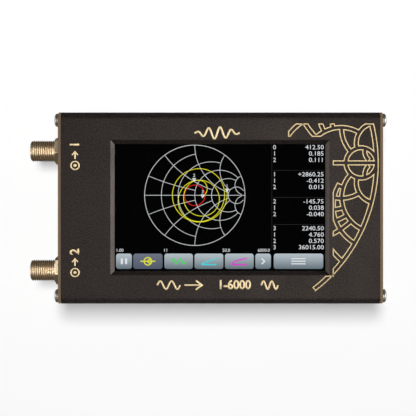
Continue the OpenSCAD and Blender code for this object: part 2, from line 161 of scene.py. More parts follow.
sky.links.new(sky_light.outputs["Background"], sky_output.inputs["Surface"])
lay_out(sky, direction=[sky_side, sky_parts], light=[sky_ramp, sky_light, sky_output])

# Like a studio's flags and snoots, these collections keep each lamp to its own things: the table,
# all but the table, or all but the table, the glass and the panel, where a lamp would mirror.
table_only = bpy.data.collections.new("lit_table")
table_only.objects.link(table)
all_but_table = bpy.data.collections.new("lit_instrument")
all_but_table.objects.link(table)
all_but_table.collection_objects[0].light_linking.link_state = "EXCLUDE"
all_but_screen = bpy.data.collections.new("lit_round_the_screen")
all_but_screen.objects.link(table)
all_but_screen.collection_objects[0].light_linking.link_state = "EXCLUDE"


def softbox(name, place, size, power, lights, shadow=True):
    """A soft lamp at a place, turned to the instrument, that lights only the things it is meant for."""
    bpy.ops.object.light_add(type="AREA", location=place)
    lamp = bpy.context.object
    lamp.name = name
    lamp.data.shape = "RECTANGLE"
    lamp.data.size, lamp.data.size_y = size
    lamp.data.energy = power
    lamp.data.use_shadow = shadow
    lamp.rotation_euler = (-Vector(place)).to_track_quat("-Z", "Y").to_euler()
    lamp.light_linking.receiver_collection = lights


softbox("table_lamp", (0, 0.30, 1.2), (0.3, 0.52), 11.0, table_only)
softbox("table_fill", (0, 0.0, 1.2), (0.3, 0.3), 5.65, table_only, shadow=False)
softbox("left_lamp", (-0.56, 0, 1.0), (0.42, 0.5), 0.3, all_but_table)
softbox("right_lamp", (0.56, 0, 1.0), (0.42, 0.5), 0.3, all_but_table)
softbox("right_low_lamp", (1.0, 0.0, 0.28), (0.6, 0.22), 7.5, all_but_screen)
softbox("left_low_lamp", (-1.0, 0.0, 0.28), (0.6, 0.22), 3.4, all_but_screen)
softbox("near_lamp", (0.08, -0.56, 1.0), (0.4, 0.42), 0.9, all_but_table)
softbox("overhead_lamp", (0.1, 0, 1.2), (0.4, 0.4), 1.7, all_but_screen)
# The jacks and nuts and the gold print are filled in later, as each of them is made.
ports_only = bpy.data.collections.new("lit_ports")
softbox("port_lamp", (-0.15, -0.38, 0.9), (0.9, 0.3), 3.6, ports_only)
softbox("port_left_lamp", (-0.5, 0.3, 1.0), (0.42, 0.5), 3.7, ports_only)
softbox("port_right_lamp", (0.3, 0.3, 1.0), (0.42, 0.5), 3.9, ports_only)
print_only = bpy.data.collections.new("lit_print")
softbox("print_lamp", (0.1, 0.5, 1.05), (0.5, 0.4), 8.0, print_only)
# The table lamp throws the case's shadow only, not the one of the jacks and nuts.
no_port_shadow = bpy.data.collections.new("shadow_without_ports")
bpy.data.objects["table_lamp"].light_linking.blocker_collection = no_port_shadow

# ---------------------------------------------------------------------------
# Case shells: two extruded aluminium halves, bead blasted and dyed black, with
# the display window milled through the front one. The end plates clamp them.
# ---------------------------------------------------------------------------


def black_anodising(name, deep, pale, roughness):
    """Dyed anodising on blasted aluminium: fine grain, uneven dye and faint handling marks."""
    material = bpy.data.materials.new(name)
    material.use_nodes = True
    tree = material.node_tree
    tree.nodes.clear()
    place = tree.nodes.new("ShaderNodeTexCoord")
    place.label = "place on the case"
    blasted = tree.nodes.new("ShaderNodeTexNoise")
    blasted.label = "bead-blasted grain"
    blasted.inputs["Scale"].default_value = 1700
    blasted.inputs["Detail"].default_value = 3
    dye = tree.nodes.new("ShaderNodeTexNoise")
    dye.label = "uneven dye"
    dye.inputs["Scale"].default_value = 55
    dye.inputs["Detail"].default_value = 4
    speck = tree.nodes.new("ShaderNodeMapRange")
    speck.label = "contrast of the grain"
    speck.inputs["From Min"].default_value = 0.36
    speck.inputs["From Max"].default_value = 0.64
    colour = tree.nodes.new("ShaderNodeMix")
    colour.label = "black dye over bright grain"
    colour.data_type = "RGBA"
    colour.inputs["A"].default_value = (*deep, 1)
    colour.inputs["B"].default_value = (*pale, 1)
    handled = tree.nodes.new("ShaderNodeMapRange")
    handled.label = "handled patches are glossier"
    handled.inputs["From Min"].default_value = 0.35
    handled.inputs["From Max"].default_value = 0.65
    handled.inputs["To Min"].default_value = roughness - 0.05
    handled.inputs["To Max"].default_value = roughness + 0.05
    pits = tree.nodes.new("ShaderNodeBump")
    pits.label = "blasted pits"
    pits.inputs["Strength"].default_value = 0.25
    pits.inputs["Distance"].default_value = 0.00003
    skin = tree.nodes.new("ShaderNodeBsdfPrincipled")
    skin.label = "anodised skin"
    skin.inputs["Specular Tint"].default_value = (1.0, 0.84, 0.76, 1)
    output = tree.nodes.new("ShaderNodeOutputMaterial")
    output.label = "black case"
    tree.links.new(place.outputs["Object"], blasted.inputs["Vector"])
    tree.links.new(place.outputs["Object"], dye.inputs["Vector"])
    tree.links.new(blasted.outputs["Fac"], speck.inputs["Value"])
    tree.links.new(speck.outputs["Result"], colour.inputs["Factor"])
    tree.links.new(colour.outputs["Result"], skin.inputs["Base Color"])
    tree.links.new(dye.outputs["Fac"], handled.inputs["Value"])
    tree.links.new(handled.outputs["Result"], skin.inputs["Roughness"])
    tree.links.new(blasted.outputs["Fac"], pits.inputs["Height"])
    tree.links.new(pits.outputs["Normal"], skin.inputs["Normal"])
    tree.links.new(skin.outputs["BSDF"], output.inputs["Surface"])
    lay_out(tree, colour_of_the_grain=[place, blasted, speck, colour], handling=[dye, handled],
            surface=[pits, skin, output])
    return material


def pick(piece):
    """Select one piece alone and make it the active one."""
    bpy.ops.object.select_all(action="DESELECT")
    piece.select_set(True)
    bpy.context.view_layer.objects.active = piece


def settle(piece, name, finish, *stands_for, body="case"):
    """Name a finished piece, put its place into its mesh and let it ride on its body."""
    piece.name = name
    piece.data.name = name
    pick(piece)
    bpy.ops.object.transform_apply(location=True, rotation=True, scale=True)
    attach(piece, body)
    if stands_for:
        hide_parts(*stands_for)


def flatten_shading(piece, angle=30):
    """Smooth the round stretches only, so that flat faces stay flat up to their edges."""
    bpy.ops.object.shade_smooth_by_angle(angle=math.radians(angle))
    flat = piece.modifiers.new("flat_faces", "WEIGHTED_NORMAL")
    flat.keep_sharp = True
    flat.weight = 90
    bpy.ops.object.modifier_apply(modifier=flat.name)


def machined(node, edge, angle=30):
    """A copy of a CAD piece with its loose triangles merged and its sharp edges broken."""
    piece = nodes[node].copy()
    piece.data = nodes[node].data.copy()
    piece.parent = None
    del piece["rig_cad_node"]
    piece.data.materials.clear()
    bpy.context.scene.collection.objects.link(piece)
    pick(piece)
    bpy.ops.object.mode_set(mode="EDIT")
    bpy.ops.mesh.select_all(action="SELECT")
    bpy.ops.mesh.remove_doubles(threshold=0.002 * mm)
    bpy.ops.mesh.dissolve_limited(angle_limit=math.radians(0.5))
    bpy.ops.object.mode_set(mode="OBJECT")
    broken = piece.modifiers.new("broken_edges", "BEVEL")
    broken.width = edge
    broken.segments = 2
    broken.limit_method = "ANGLE"
    broken.angle_limit = math.radians(angle)
    bpy.ops.object.modifier_apply(modifier=broken.name)
    flatten_shading(piece, angle)
    return piece


def dressed(node, name, edge, finish, material, body="case"):
    """Stand a broken-edged copy with its own material in for a CAD piece."""
    piece = machined(node, edge)
    piece.data.materials.append(material)
    settle(piece, name, finish, node, body=body)
    return piece


shell_black = black_anodising("shell_black", (0.009, 0.0068, 0.006), (0.046, 0.036, 0.032), 0.46)
for side in ("front", "back"):
    dressed(side + "_shell", side + "_case_shell", 0.15 * mm, "anodised_shell", shell_black)


# ---------------------------------------------------------------------------
# Gold print: the port numbers, the marks above and below the display and the
# lattice of arcs on the right are screen printed on the shell in metallic ink.
# ---------------------------------------------------------------------------


def gold_ink(name, colour, worn):
    """Metallic ink: fine flakes in a clear binder, thinner in places where fingers pass."""
    material = bpy.data.materials.new(name)
    material.use_nodes = True
    tree = material.node_tree
    tree.nodes.clear()
    place = tree.nodes.new("ShaderNodeTexCoord")
    place.label = "place on the shell"
    flakes = tree.nodes.new("ShaderNodeTexVoronoi")
    flakes.label = "metal flakes"
    flakes.inputs["Scale"].default_value = 9000
    thinning = tree.nodes.new("ShaderNodeTexNoise")
    thinning.label = "thin places in the ink"
    thinning.inputs["Scale"].default_value = 400
    ink = tree.nodes.new("ShaderNodeMix")
    ink.label = "full ink to thin ink"
    ink.data_type = "RGBA"
    ink.inputs["A"].default_value = (*colour, 1)
    ink.inputs["B"].default_value = (*worn, 1)
    sparkle = tree.nodes.new("ShaderNodeMapRange")
    sparkle.label = "flakes shine differently"
    sparkle.inputs["To Min"].default_value = 0.35
    sparkle.inputs["To Max"].default_value = 0.6
    print_layer = tree.nodes.new("ShaderNodeBsdfPrincipled")
    print_layer.label = "printed ink"
    print_layer.inputs["Metallic"].default_value = 0.15
    output = tree.nodes.new("ShaderNodeOutputMaterial")
    output.label = "gold print"
    tree.links.new(place.outputs["Object"], flakes.inputs["Vector"])
    tree.links.new(place.outputs["Object"], thinning.inputs["Vector"])
    tree.links.new(thinning.outputs["Fac"], ink.inputs["Factor"])
    tree.links.new(ink.outputs["Result"], print_layer.inputs["Base Color"])
    tree.links.new(flakes.outputs["Distance"], sparkle.inputs["Value"])
    tree.links.new(sparkle.outputs["Result"], print_layer.inputs["Roughness"])
    tree.links.new(print_layer.outputs["BSDF"], output.inputs["Surface"])
    lay_out(tree, ink=[place, thinning, ink], flakes=[flakes, sparkle], surface=[print_layer, output])
    return material


def thicken(piece, low, high):
    """Turn a flat drawing into a thin closed solid between two heights."""
    for vertex in piece.data.vertices:
        vertex.co.z = low
    pick(piece)
    bpy.ops.object.mode_set(mode="EDIT")
    bpy.ops.mesh.select_all(action="SELECT")
    bpy.ops.mesh.extrude_region_move(TRANSFORM_OT_translate={"value": (0, 0, high - low)})
    bpy.ops.mesh.select_all(action="SELECT")
    bpy.ops.mesh.normals_make_consistent(inside=False)
    bpy.ops.object.mode_set(mode="OBJECT")


def joined(pieces):
    """Join like pieces into the first of them."""
    bpy.ops.object.select_all(action="DESELECT")
    for piece in pieces:
        piece.select_set(True)
    bpy.context.view_layer.objects.active = pieces[0]
    if len(pieces) > 1:
        bpy.ops.object.join()
    return pieces[0]


def figures(text, place, size, align="LEFT", turn=0.0, heavy=0.0, wide=1.0):
    """Flat figures set at a place; heavy fattens the strokes."""
    bpy.ops.object.text_add(location=(place[0], place[1], 0), rotation=(0, 0, turn))
    words = bpy.context.object
    words.data.body = text
    words.data.size = size
    words.data.align_x = align
    words.data.align_y = "CENTER"
    words.data.offset = heavy
    words.data.resolution_u = 4
    words.scale.x = wide
    bpy.ops.object.convert(target="MESH")
    bpy.ops.object.transform_apply(location=True, rotation=True, scale=True)
    return bpy.context.object


def drawn(points, closed):
    """A line of no width through the points, on the flat, as the active object."""
    drawing = bpy.data.curves.new("drawing", "CURVE")
    drawing.dimensions = "2D"
    line = drawing.splines.new("POLY")
    line.points.add(len(points) - 1)
    line.use_cyclic_u = closed
    for point, (x, y) in zip(line.points, points):
        point.co = (x, y, 0, 1)
    path = bpy.data.objects.new("drawing", drawing)
    bpy.context.scene.collection.objects.link(path)
    pick(path)
    return path


def stroke(points, width, closed=False):
    """A rod of even width through the points, to be pressed flat."""
    path = drawn(points, closed)
    path.data.fill_mode = "NONE"
    path.data.bevel_depth = width / 2
    path.data.bevel_resolution = 0
    path.data.use_fill_caps = True
    bpy.ops.object.convert(target="MESH")
    return bpy.context.object


def arc(centre, radius, start, end, steps=48):
    """Points along a round arc, its angles in degrees."""
    angles = [math.radians(start + (end - start) * i / steps) for i in range(steps + 1)]
    return [(centre[0] + radius * math.cos(a), centre[1] + radius * math.sin(a)) for a in angles]


def pressed_flat(piece, low, high):
    """Squeeze a drawing of round lines between two heights."""
    bottom = min(vertex.co.z for vertex in piece.data.vertices)
    top = max(vertex.co.z for vertex in piece.data.vertices)
    for vertex in piece.data.vertices:
        vertex.co.z = low + (high - low) * (vertex.co.z - bottom) / (top - bottom)
    return piece


print_low = face_z - 0.01 * mm
print_high = face_z + 0.02 * mm
line_gold = gold_ink("line_gold", (0.74, 0.56, 0.28), (0.62, 0.46, 0.22))
mark_gold = gold_ink("mark_gold", (0.98, 0.77, 0.44), (0.9, 0.7, 0.4))

# The lattice: the circles and arcs of an impedance chart drawn as open bands,
# cut off at the display's frame and at the edge of the shell, inside one rim.
lattice_x, lattice_y = -1.5 * mm, 19 * mm
lattice_r = 67.1 * mm
lattice_band = 2.1 * mm
lattice_line = 0.42 * mm
clear_x = cad_high.x - 23.2 * mm
clear_y = 30.0 * mm
print_top, print_bottom = 35.6 * mm, -35.2 * mm
upper_reach = 28.5 * mm
lower_reach, lower_clear_y = 33 * mm, -28.5 * mm


def band(points, closed=False):
    """An upright ribbon of the lattice's width along the points, a closed solid."""
    path = drawn(points, closed)
    path.data.extrude = 0.5 * mm
    bpy.ops.object.convert(target="MESH")
    wall = path.modifiers.new("wall", "SOLIDIFY")
    wall.thickness = lattice_band
    wall.offset = 0
    bpy.ops.object.modifier_apply(modifier=wall.name)
    return path


def chart_circle(resistance, first=None, last=None):
    """The band of one resistance circle of the chart, whole or between two reactances."""
    radius = lattice_r / (1 + resistance)
    whole = first is None
    start, end = 0, 355
    if not whole:
        start, end = (180 - 2 * math.degrees(math.atan(x / (1 + resistance))) for x in (first, last))
    return band(arc((lattice_x + lattice_r - radius, lattice_y), radius, start, end, 72), whole)


def chart_arc(reactance, nearest, farthest):
    """The band of one reactance arc of the chart between two resistances."""
    places = []
    for i in range(41):
        resistance = nearest * (farthest / nearest) ** (i / 40) if nearest else farthest * (i / 40) ** 2
        impedance = complex(resistance, reactance)
        reflection = (impedance - 1) / (impedance + 1)
        places.append((lattice_x + lattice_r * reflection.real, lattice_y + lattice_r * reflection.imag))
    return band(places)


def slab(left, right, low, high, depth=0.4 * mm):
    """A flat box used as a cutter."""
    bpy.ops.mesh.primitive_cube_add(size=1, location=((left + right) / 2, (low + high) / 2, 0))
    cutter = bpy.context.object
    cutter.scale = (right - left, high - low, depth)
    bpy.ops.object.transform_apply(location=True, rotation=True, scale=True)
    return cutter


# Circles and arcs are named by their resistance and reactance on the chart, in units of its middle.
rungs = [chart_circle(resistance, -3.7, -4.6) for resistance in (5.2, 2.4, 1.6)]
arcs = ((14, 9.5, 40), (-14, 9.5, 40), (8, 0, 9.5), (-8, 0, 9.5), (4.6, 3.5, 9.5), (-4.6, 0, 9.5),
        (3.6, 0.5, 3.5), (-3.7, 0, 5.6), (2.7, 0.5, 3.5), (-2.9, 0, 1.2), (1.9, 0.4, 3.5))
lattice = joined([band(arc((lattice_x, lattice_y), lattice_r, -52.5, 15.5, 120)), *rungs,
                  chart_circle(9.5), chart_circle(3.5, 8, 1), chart_circle(3.5, -3.7, -8),
                  chart_circle(2.3, 2.2, 0.3), chart_circle(1.0, -2.8, -4.6),
                  *[chart_arc(reactance, nearest, farthest) for reactance, nearest, farthest in arcs],
                  band([(lattice_x + lattice_r * 0.6, lattice_y), (lattice_x + lattice_r, lattice_y)])])
window = joined([slab(clear_x, cad_high.x, print_bottom, print_top),
                 slab(upper_reach, cad_high.x, clear_y, print_top),
                 slab(lower_reach, cad_high.x, print_bottom, lower_clear_y)])
trim = lattice.modifiers.new("trim", "BOOLEAN")
trim.operation = "INTERSECT"
trim.object = window
trim.use_self = True
pick(lattice)
bpy.ops.object.modifier_apply(modifier=trim.name)
bpy.data.objects.remove(window)
# Only the upper faces of the bands stay, and an inset along their outline is the printed line.
bpy.ops.object.mode_set(mode="EDIT")
bpy.ops.mesh.select_mode(type="FACE")
bpy.ops.mesh.select_all(action="DESELECT")
bpy.ops.object.mode_set(mode="OBJECT")
for polygon in lattice.data.polygons:
    polygon.select = polygon.normal.z < 0.9
bpy.ops.object.mode_set(mode="EDIT")
bpy.ops.mesh.delete(type="FACE")
bpy.ops.mesh.select_all(action="SELECT")
bpy.ops.mesh.remove_doubles(threshold=0.01 * mm)
bpy.ops.mesh.dissolve_limited(angle_limit=math.radians(1))
bpy.ops.mesh.select_all(action="SELECT")
bpy.ops.mesh.inset(thickness=lattice_line, depth=0, use_boundary=True)
bpy.ops.mesh.delete(type="FACE")
bpy.ops.object.mode_set(mode="OBJECT")
thicken(lattice, print_low, print_high)
lattice.data.materials.append(line_gold)
settle(lattice, "arc_lattice_print", "port_gold")
print_only.objects.link(lattice)

# Port numbers, each with the coaxial symbol beside it, reading up the case.
mark_x = cad_low.x + 20.7 * mm
mark_line = 0.62 * mm
marks = []
for number, port in (("1", "port_1_jack"), ("2", "port_2_jack")):
    low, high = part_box(port)
    side = 1 if number == "1" else -1
    across = (low.y + high.y) / 2 - (2.6 * mm if side > 0 else -4.0 * mm)
    marks.append(figures(number, (mark_x, across + 4.6 * mm), 5.4 * mm, "CENTER", math.pi / 2, 0.12 * mm))
    thicken(marks[-1], print_low, print_high)
    arrow_head = [(mark_x + x * mm, across + y * mm) for x, y in ((-1.2, 0.2), (0, 1.6), (1.2, 0.2))]
    for points, width, closed in (
        (arc((mark_x, across - 4.2 * mm), 1.7 * mm, 0, 350, 35), mark_line, True),
        (arc((mark_x, across - 4.2 * mm), 0.35 * mm, 0, 315, 7), 0.7 * mm, True),
        ([(mark_x, across - 1.4 * mm), (mark_x, across + 1.2 * mm)], mark_line, False),
        (arrow_head, mark_line, False),
    ):
        marks.append(pressed_flat(stroke(points, width, closed), print_low, print_high))
marks = joined(marks)
marks.data.materials.append(mark_gold)
settle(marks, "port_mark_print", "port_gold")
print_only.objects.link(marks)


# Above the display a burst of waves; below it a wave with an arrow, the span in figures and a wave.
def wave_points(left, right, middle, swing, periods, swell=False):
    """Points along a sine between two places across; a swell dies away at both ends."""
    points = []
    for i in range(121):
        strength = math.sin(i / 120 * math.pi) if swell else 1
        height = swing * math.sin(i / 120 * math.tau * periods) * strength
        points.append(((left + (right - left) * i / 120) * mm, (middle + height) * mm))
    return points


low_y = -32.5 * mm
sign_line = 0.75 * mm
arrow_barbs = [(-10.4 * mm, low_y + 1.9 * mm), (-7.9 * mm, low_y), (-10.4 * mm, low_y - 1.9 * mm)]
signs = [stroke(wave_points(-11, 8.2, 31.6, 2.5, 4, True), 0.85 * mm),
         stroke(wave_points(-26.6, -17, -32.5, 1.7, 2), sign_line),
         stroke([(-15.2 * mm, low_y), (-8.2 * mm, low_y)], sign_line),
         stroke(arrow_barbs, sign_line),
         stroke(wave_points(17.2, 24.2, -32.5, 1.7, 2), sign_line)]
for sign in signs:
    pressed_flat(sign, print_low, print_high)
signs.append(figures("1-6000", (-1.2 * mm, low_y), 5.4 * mm, "LEFT", 0, 0.13 * mm, 0.92))
thicken(signs[-1], print_low, print_high)
signs = joined(signs)
signs.data.materials.append(mark_gold)
settle(signs, "sign_print", "port_gold")
print_only.objects.link(signs)


# ---------------------------------------------------------------------------
# Display: a black liquid crystal panel under a clear touch glass, in a white
# tray with its light guide, pressed against a foam gasket behind the window.
# ---------------------------------------------------------------------------


def clear_sheet(name, tint, roughness, smear):
    """Clear glass or acrylic, with faint smears from fingers."""
    material = bpy.data.materials.new(name)
    material.use_nodes = True
    tree = material.node_tree
    tree.nodes.clear()
    place = tree.nodes.new("ShaderNodeTexCoord")
    place.label = "place on the sheet"
    smears = tree.nodes.new("ShaderNodeTexNoise")
    smears.label = "finger smears"
    smears.inputs["Scale"].default_value = 70
    smears.inputs["Distortion"].default_value = 1.5
    haze = tree.nodes.new("ShaderNodeMapRange")
    haze.label = "smears are hazier"
    haze.inputs["From Min"].default_value = 0.45
    haze.inputs["From Max"].default_value = 0.75
    haze.inputs["To Min"].default_value = roughness
    haze.inputs["To Max"].default_value = roughness + smear
    sheet = tree.nodes.new("ShaderNodeBsdfPrincipled")
    sheet.label = "clear sheet"
    sheet.inputs["Base Color"].default_value = (*tint, 1)
    sheet.inputs["Transmission Weight"].default_value = 1
    sheet.inputs["IOR"].default_value = 1.49
    output = tree.nodes.new("ShaderNodeOutputMaterial")
    output.label = "clear part"
    tree.links.new(place.outputs["Object"], smears.inputs["Vector"])
    tree.links.new(smears.outputs["Fac"], haze.inputs["Value"])
    tree.links.new(haze.outputs["Result"], sheet.inputs["Roughness"])
    tree.links.new(sheet.outputs["BSDF"], output.inputs["Surface"])
    lay_out(tree, smears=[place, smears, haze], sheet=[sheet, output])
    return material


def moulded(name, colour, shade, roughness, grain, relief):
    """Moulded plastic, rubber, ceramic or foam: two close shades and a fine surface texture."""
    material = bpy.data.materials.new(name)
    material.use_nodes = True
    tree = material.node_tree
    tree.nodes.clear()
    place = tree.nodes.new("ShaderNodeTexCoord")
    place.label = "place on the part"
    cloudy = tree.nodes.new("ShaderNodeTexNoise")
    cloudy.label = "uneven colour"
    cloudy.inputs["Scale"].default_value = grain / 8
    mix = tree.nodes.new("ShaderNodeMix")
    mix.label = "two shades of the plastic"
    mix.data_type = "RGBA"
    mix.inputs["A"].default_value = (*colour, 1)
    mix.inputs["B"].default_value = (*shade, 1)
    texture = tree.nodes.new("ShaderNodeTexNoise")
    texture.label = "texture of the mould"
    texture.inputs["Scale"].default_value = grain
    texture.inputs["Detail"].default_value = 3
    gloss = tree.nodes.new("ShaderNodeMapRange")
    gloss.label = "texture breaks the gloss"
    gloss.inputs["To Min"].default_value = roughness - 0.08
    gloss.inputs["To Max"].default_value = roughness + 0.08
    raised = tree.nodes.new("ShaderNodeBump")
    raised.label = "texture stands up"
    raised.inputs["Strength"].default_value = 0.3
    raised.inputs["Distance"].default_value = relief
    plastic = tree.nodes.new("ShaderNodeBsdfPrincipled")
    plastic.label = "moulded surface"
    output = tree.nodes.new("ShaderNodeOutputMaterial")
    output.label = "moulded part"
    tree.links.new(place.outputs["Object"], cloudy.inputs["Vector"])
    tree.links.new(place.outputs["Object"], texture.inputs["Vector"])
    tree.links.new(cloudy.outputs["Fac"], mix.inputs["Factor"])
    tree.links.new(mix.outputs["Result"], plastic.inputs["Base Color"])
    tree.links.new(texture.outputs["Fac"], gloss.inputs["Value"])
    tree.links.new(gloss.outputs["Result"], plastic.inputs["Roughness"])
    tree.links.new(texture.outputs["Fac"], raised.inputs["Height"])
    tree.links.new(raised.outputs["Normal"], plastic.inputs["Normal"])
    tree.links.new(plastic.outputs["BSDF"], output.inputs["Surface"])
    lay_out(tree, colour=[place, cloudy, mix], texture=[texture, gloss, raised], surface=[plastic, output])
    return material


def lit_cells(name, top_colour, low_colour=None, middle=0, reach=1):
    """Light from the panel: one colour, or two that fade down a key, broken by the fine rows of cells."""
    material = bpy.data.materials.new(name)
    material.use_nodes = True
    tree = material.node_tree
    tree.nodes.clear()
    place = tree.nodes.new("ShaderNodeTexCoord")
    place.label = "place on the screen"
    parts = tree.nodes.new("ShaderNodeSeparateXYZ")
    parts.label = "height on the screen"
    fade = tree.nodes.new("ShaderNodeMapRange")
    fade.label = "fade down the key"
    fade.inputs["From Min"].default_value = middle - reach
    fade.inputs["From Max"].default_value = middle + reach
    colour = tree.nodes.new("ShaderNodeMix")
    colour.label = "low colour to top colour"
    colour.data_type = "RGBA"
    colour.inputs["A"].default_value = (*(low_colour or top_colour), 1)
    colour.inputs["B"].default_value = (*top_colour, 1)
    rows = tree.nodes.new("ShaderNodeTexWave")
    rows.label = "rows of cells"
    rows.bands_direction = "Y"
    rows.inputs["Scale"].default_value = 1500
    dimming = tree.nodes.new("ShaderNodeMapRange")
    dimming.label = "gaps between the rows"
    dimming.inputs["To Min"].default_value = 0.92
    dimming.inputs["To Max"].default_value = 1.05
    light = tree.nodes.new("ShaderNodeEmission")
    light.label = "light of the cells"
    output = tree.nodes.new("ShaderNodeOutputMaterial")
    output.label = "lit part of the screen"
    tree.links.new(place.outputs["Object"], parts.inputs["Vector"])
    tree.links.new(parts.outputs["Y"], fade.inputs["Value"])
    tree.links.new(fade.outputs["Result"], colour.inputs["Factor"])
    tree.links.new(place.outputs["Object"], rows.inputs["Vector"])
    tree.links.new(rows.outputs["Fac"], dimming.inputs["Value"])
    tree.links.new(colour.outputs["Result"], light.inputs["Color"])
    tree.links.new(dimming.outputs["Result"], light.inputs["Strength"])
    tree.links.new(light.outputs["Emission"], output.inputs["Surface"])
    lay_out(tree, colour=[place, parts, fade, colour], cells=[rows, dimming], light=[light, output])
    return material


glass_low, glass_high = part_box("touch_panel")
lcd_low, lcd_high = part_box("lcd_panel")
bond_gap = 0.15 * mm
bpy.ops.mesh.primitive_cube_add(size=1, location=(glass_low + glass_high) / 2 + Vector((0, 0, bond_gap / 2)))
glass = bpy.context.object
glass.scale = (glass_high - glass_low) - Vector((0, 0, bond_gap))
bpy.ops.object.transform_apply(location=True, rotation=True, scale=True)
ground = glass.modifiers.new("ground_corners", "BEVEL")
ground.width = 0.2 * mm
ground.segments = 2
bpy.ops.object.modifier_apply(modifier=ground.name)
flatten_shading(glass)
glass.data.materials.append(clear_sheet("touch_glass", (0.98, 0.99, 1.0), 0.0, 0.012))
settle(glass, "touch_glass", "touch_glass", "touch_panel")

lcd_black = moulded("lcd_black", (0.0005, 0.0005, 0.0006), (0.0008, 0.0008, 0.0009), 0.09, 900, 0.000001)
lcd = dressed("lcd_panel", "lcd_glass", 0.1 * mm, "lcd", lcd_black)
# The low and overhead lamps leave the glass and the panel out, so that they mirror nothing white.
for i, sheet in enumerate((glass, lcd)):
    all_but_screen.objects.link(sheet)
    all_but_screen.collection_objects[i + 1].light_linking.link_state = "EXCLUDE"
black_foam = moulded("black_foam", (0.012, 0.012, 0.012), (0.02, 0.02, 0.02), 0.85, 5000, 0.00005)
dressed("display_gasket", "foam_gasket", 0.1 * mm, "gasket_foam", black_foam)

# What the display shows: an impedance chart with a measured trace, a column of
# figures and a row of soft keys. Each is a thin layer lying on the panel.
screen_x = (lcd_low.x + lcd_high.x) / 2
screen_y = (lcd_low.y + lcd_high.y) / 2
layer = 0.02 * mm
screen_z = lcd_high.z
chart_x = screen_x - 10.7 * mm
chart_y = screen_y + 5.2 * mm
chart_r = 21.3 * mm


def on_chart(reflection):
    """The place on the screen of a complex reflection coefficient."""
    return (chart_x + chart_r * reflection.real, chart_y + chart_r * reflection.imag)


def impedance_line(points, width):
    """A chart line through impedances, each turned into its reflection coefficient."""
    places = [on_chart((z - 1) / (z + 1)) for z in points]
    return pressed_flat(stroke(places, width), screen_z, screen_z + layer)


def screen_piece(pieces, name, material):
    """Join the lit shapes of one colour into one layer of the screen."""
    piece = joined(pieces)
    piece.data.materials.append(material)
    settle(piece, name, "lcd")


screen_white = lit_cells("screen_white", (0.82, 0.84, 0.86))
grid_width = 0.18 * mm
grid = [pressed_flat(stroke(arc((chart_x, chart_y), chart_r, 0, 357, 119), grid_width * 1.1, closed=True),
                     screen_z, screen_z + layer)]
for resistance, reach in ((0.2, 1), (0.5, 2), (1, 5), (2, 5), (5, 20)):
    bend = [math.tan(math.atan(reach) * (i - 30) / 30) for i in range(61)]
    grid.append(impedance_line([complex(resistance, x) for x in bend], grid_width))
for reactance, reach in ((0.2, 1), (0.5, 2), (1, 5), (2, 5), (5, 30)):
    for sign in (-1, 1):
        run = [math.tan(math.atan(reach) * i / 30) for i in range(31)]
        grid.append(impedance_line([complex(r, sign * reactance) for r in run], grid_width))
resistive = [complex(math.tan(math.radians(89.9) * i / 40), 0) for i in range(41)]
grid.append(impedance_line(resistive, grid_width))
screen_piece(grid, "chart_grid", screen_white)

reference = stroke(arc((chart_x, chart_y), 0.205 * chart_r, 0, 354, 59), 0.24 * mm, closed=True)
screen_piece([pressed_flat(reference, screen_z + layer, screen_z + 2 * layer)], "chart_reference_ring",
             lit_cells("screen_red", (0.9, 0.02, 0.02)))


def measured(t):
    """A made-up reflection that winds inwards as the sweep goes on, t from 0 to 1."""
    loops = ((0.09, 0.02, 0.555), (0.09, 0.0, 0.53), (0.08, -0.11, 0.41),
             (0.13, -0.05, 0.36), (0.03, 0.1, 0.19))
    place = t * (len(loops) - 1)
    i = min(int(place), len(loops) - 2)
    ease = (place - i) ** 2 * (3 - 2 * (place - i))
    x, y, size = (a + (b - a) * ease for a, b in zip(loops[i], loops[i + 1]))
    turn = -math.tau * 3.15 * t + 0.1
    return complex(x + size * math.cos(turn), y + size * math.sin(turn))


trace = stroke([on_chart(measured(i / 220)) for i in range(221)], 0.26 * mm)
screen_piece([pressed_flat(trace, screen_z + 2 * layer, screen_z + 3 * layer)], "chart_trace",
             lit_cells("screen_yellow", (0.85, 0.82, 0.02)))

markers = []
for number, sweep in (("1", 0.0), ("2", 0.86), ("3", 1.0)):
    x, y = on_chart(measured(sweep))
    corners = [(x, y), (x - 0.55 * mm, y + 1.0 * mm), (x + 0.55 * mm, y + 1.0 * mm)]
    flag = stroke(corners, 0.4 * mm, closed=True)
    markers.append(pressed_flat(flag, screen_z + 3 * layer, screen_z + 4 * layer))
    markers.append(figures(number, (x, y + 2.3 * mm), 2.0 * mm, "CENTER"))
    thicken(markers[-1], screen_z + 3 * layer, screen_z + 4 * layer)
screen_piece(markers, "chart_markers", screen_white)

# Readout column: groups of three or four rows, a short figure on the left and
# a longer one on the right, with faint rules between the groups.
column_left = screen_x + 22.5 * mm
column_right = screen_x + 44.1 * mm
row_pitch = 2.68 * mm
readouts = (
    (25.5, (("0", "412.50"), ("1", "0.185"), ("2", "0.111"))),
    (14.0, (("1", "+2860.25"), ("1", "-0.412"), ("2", "0.013"))),
    (2.5, (("2", "-145.75"), ("1", "0.038"), ("2", "-0.040"))),
    (-8.9, (("3", "2240.50"), ("1", "4.760"), ("2", "0.570"), ("3", "36015.00"))),
)
rows = []
for top, group in readouts:
    for i, (left, right) in enumerate(group):
        row_y = screen_y + top * mm - i * row_pitch
        rows.append(figures(left, (column_left, row_y), 2.6 * mm, "LEFT"))
        rows.append(figures(right, (column_right, row_y), 2.6 * mm, "RIGHT", 0, 0, 1.12))
for x, text in ((-44.2, "1.00"), (-24.0, "11"), (1.0, "50.0"), (16.0, "6000.0")):
    rows.append(figures(text, (screen_x + x * mm, screen_y - 18.2 * mm), 1.9 * mm))
for row in rows:
    thicken(row, screen_z, screen_z + layer)
screen_piece(rows, "readout_figures", screen_white)

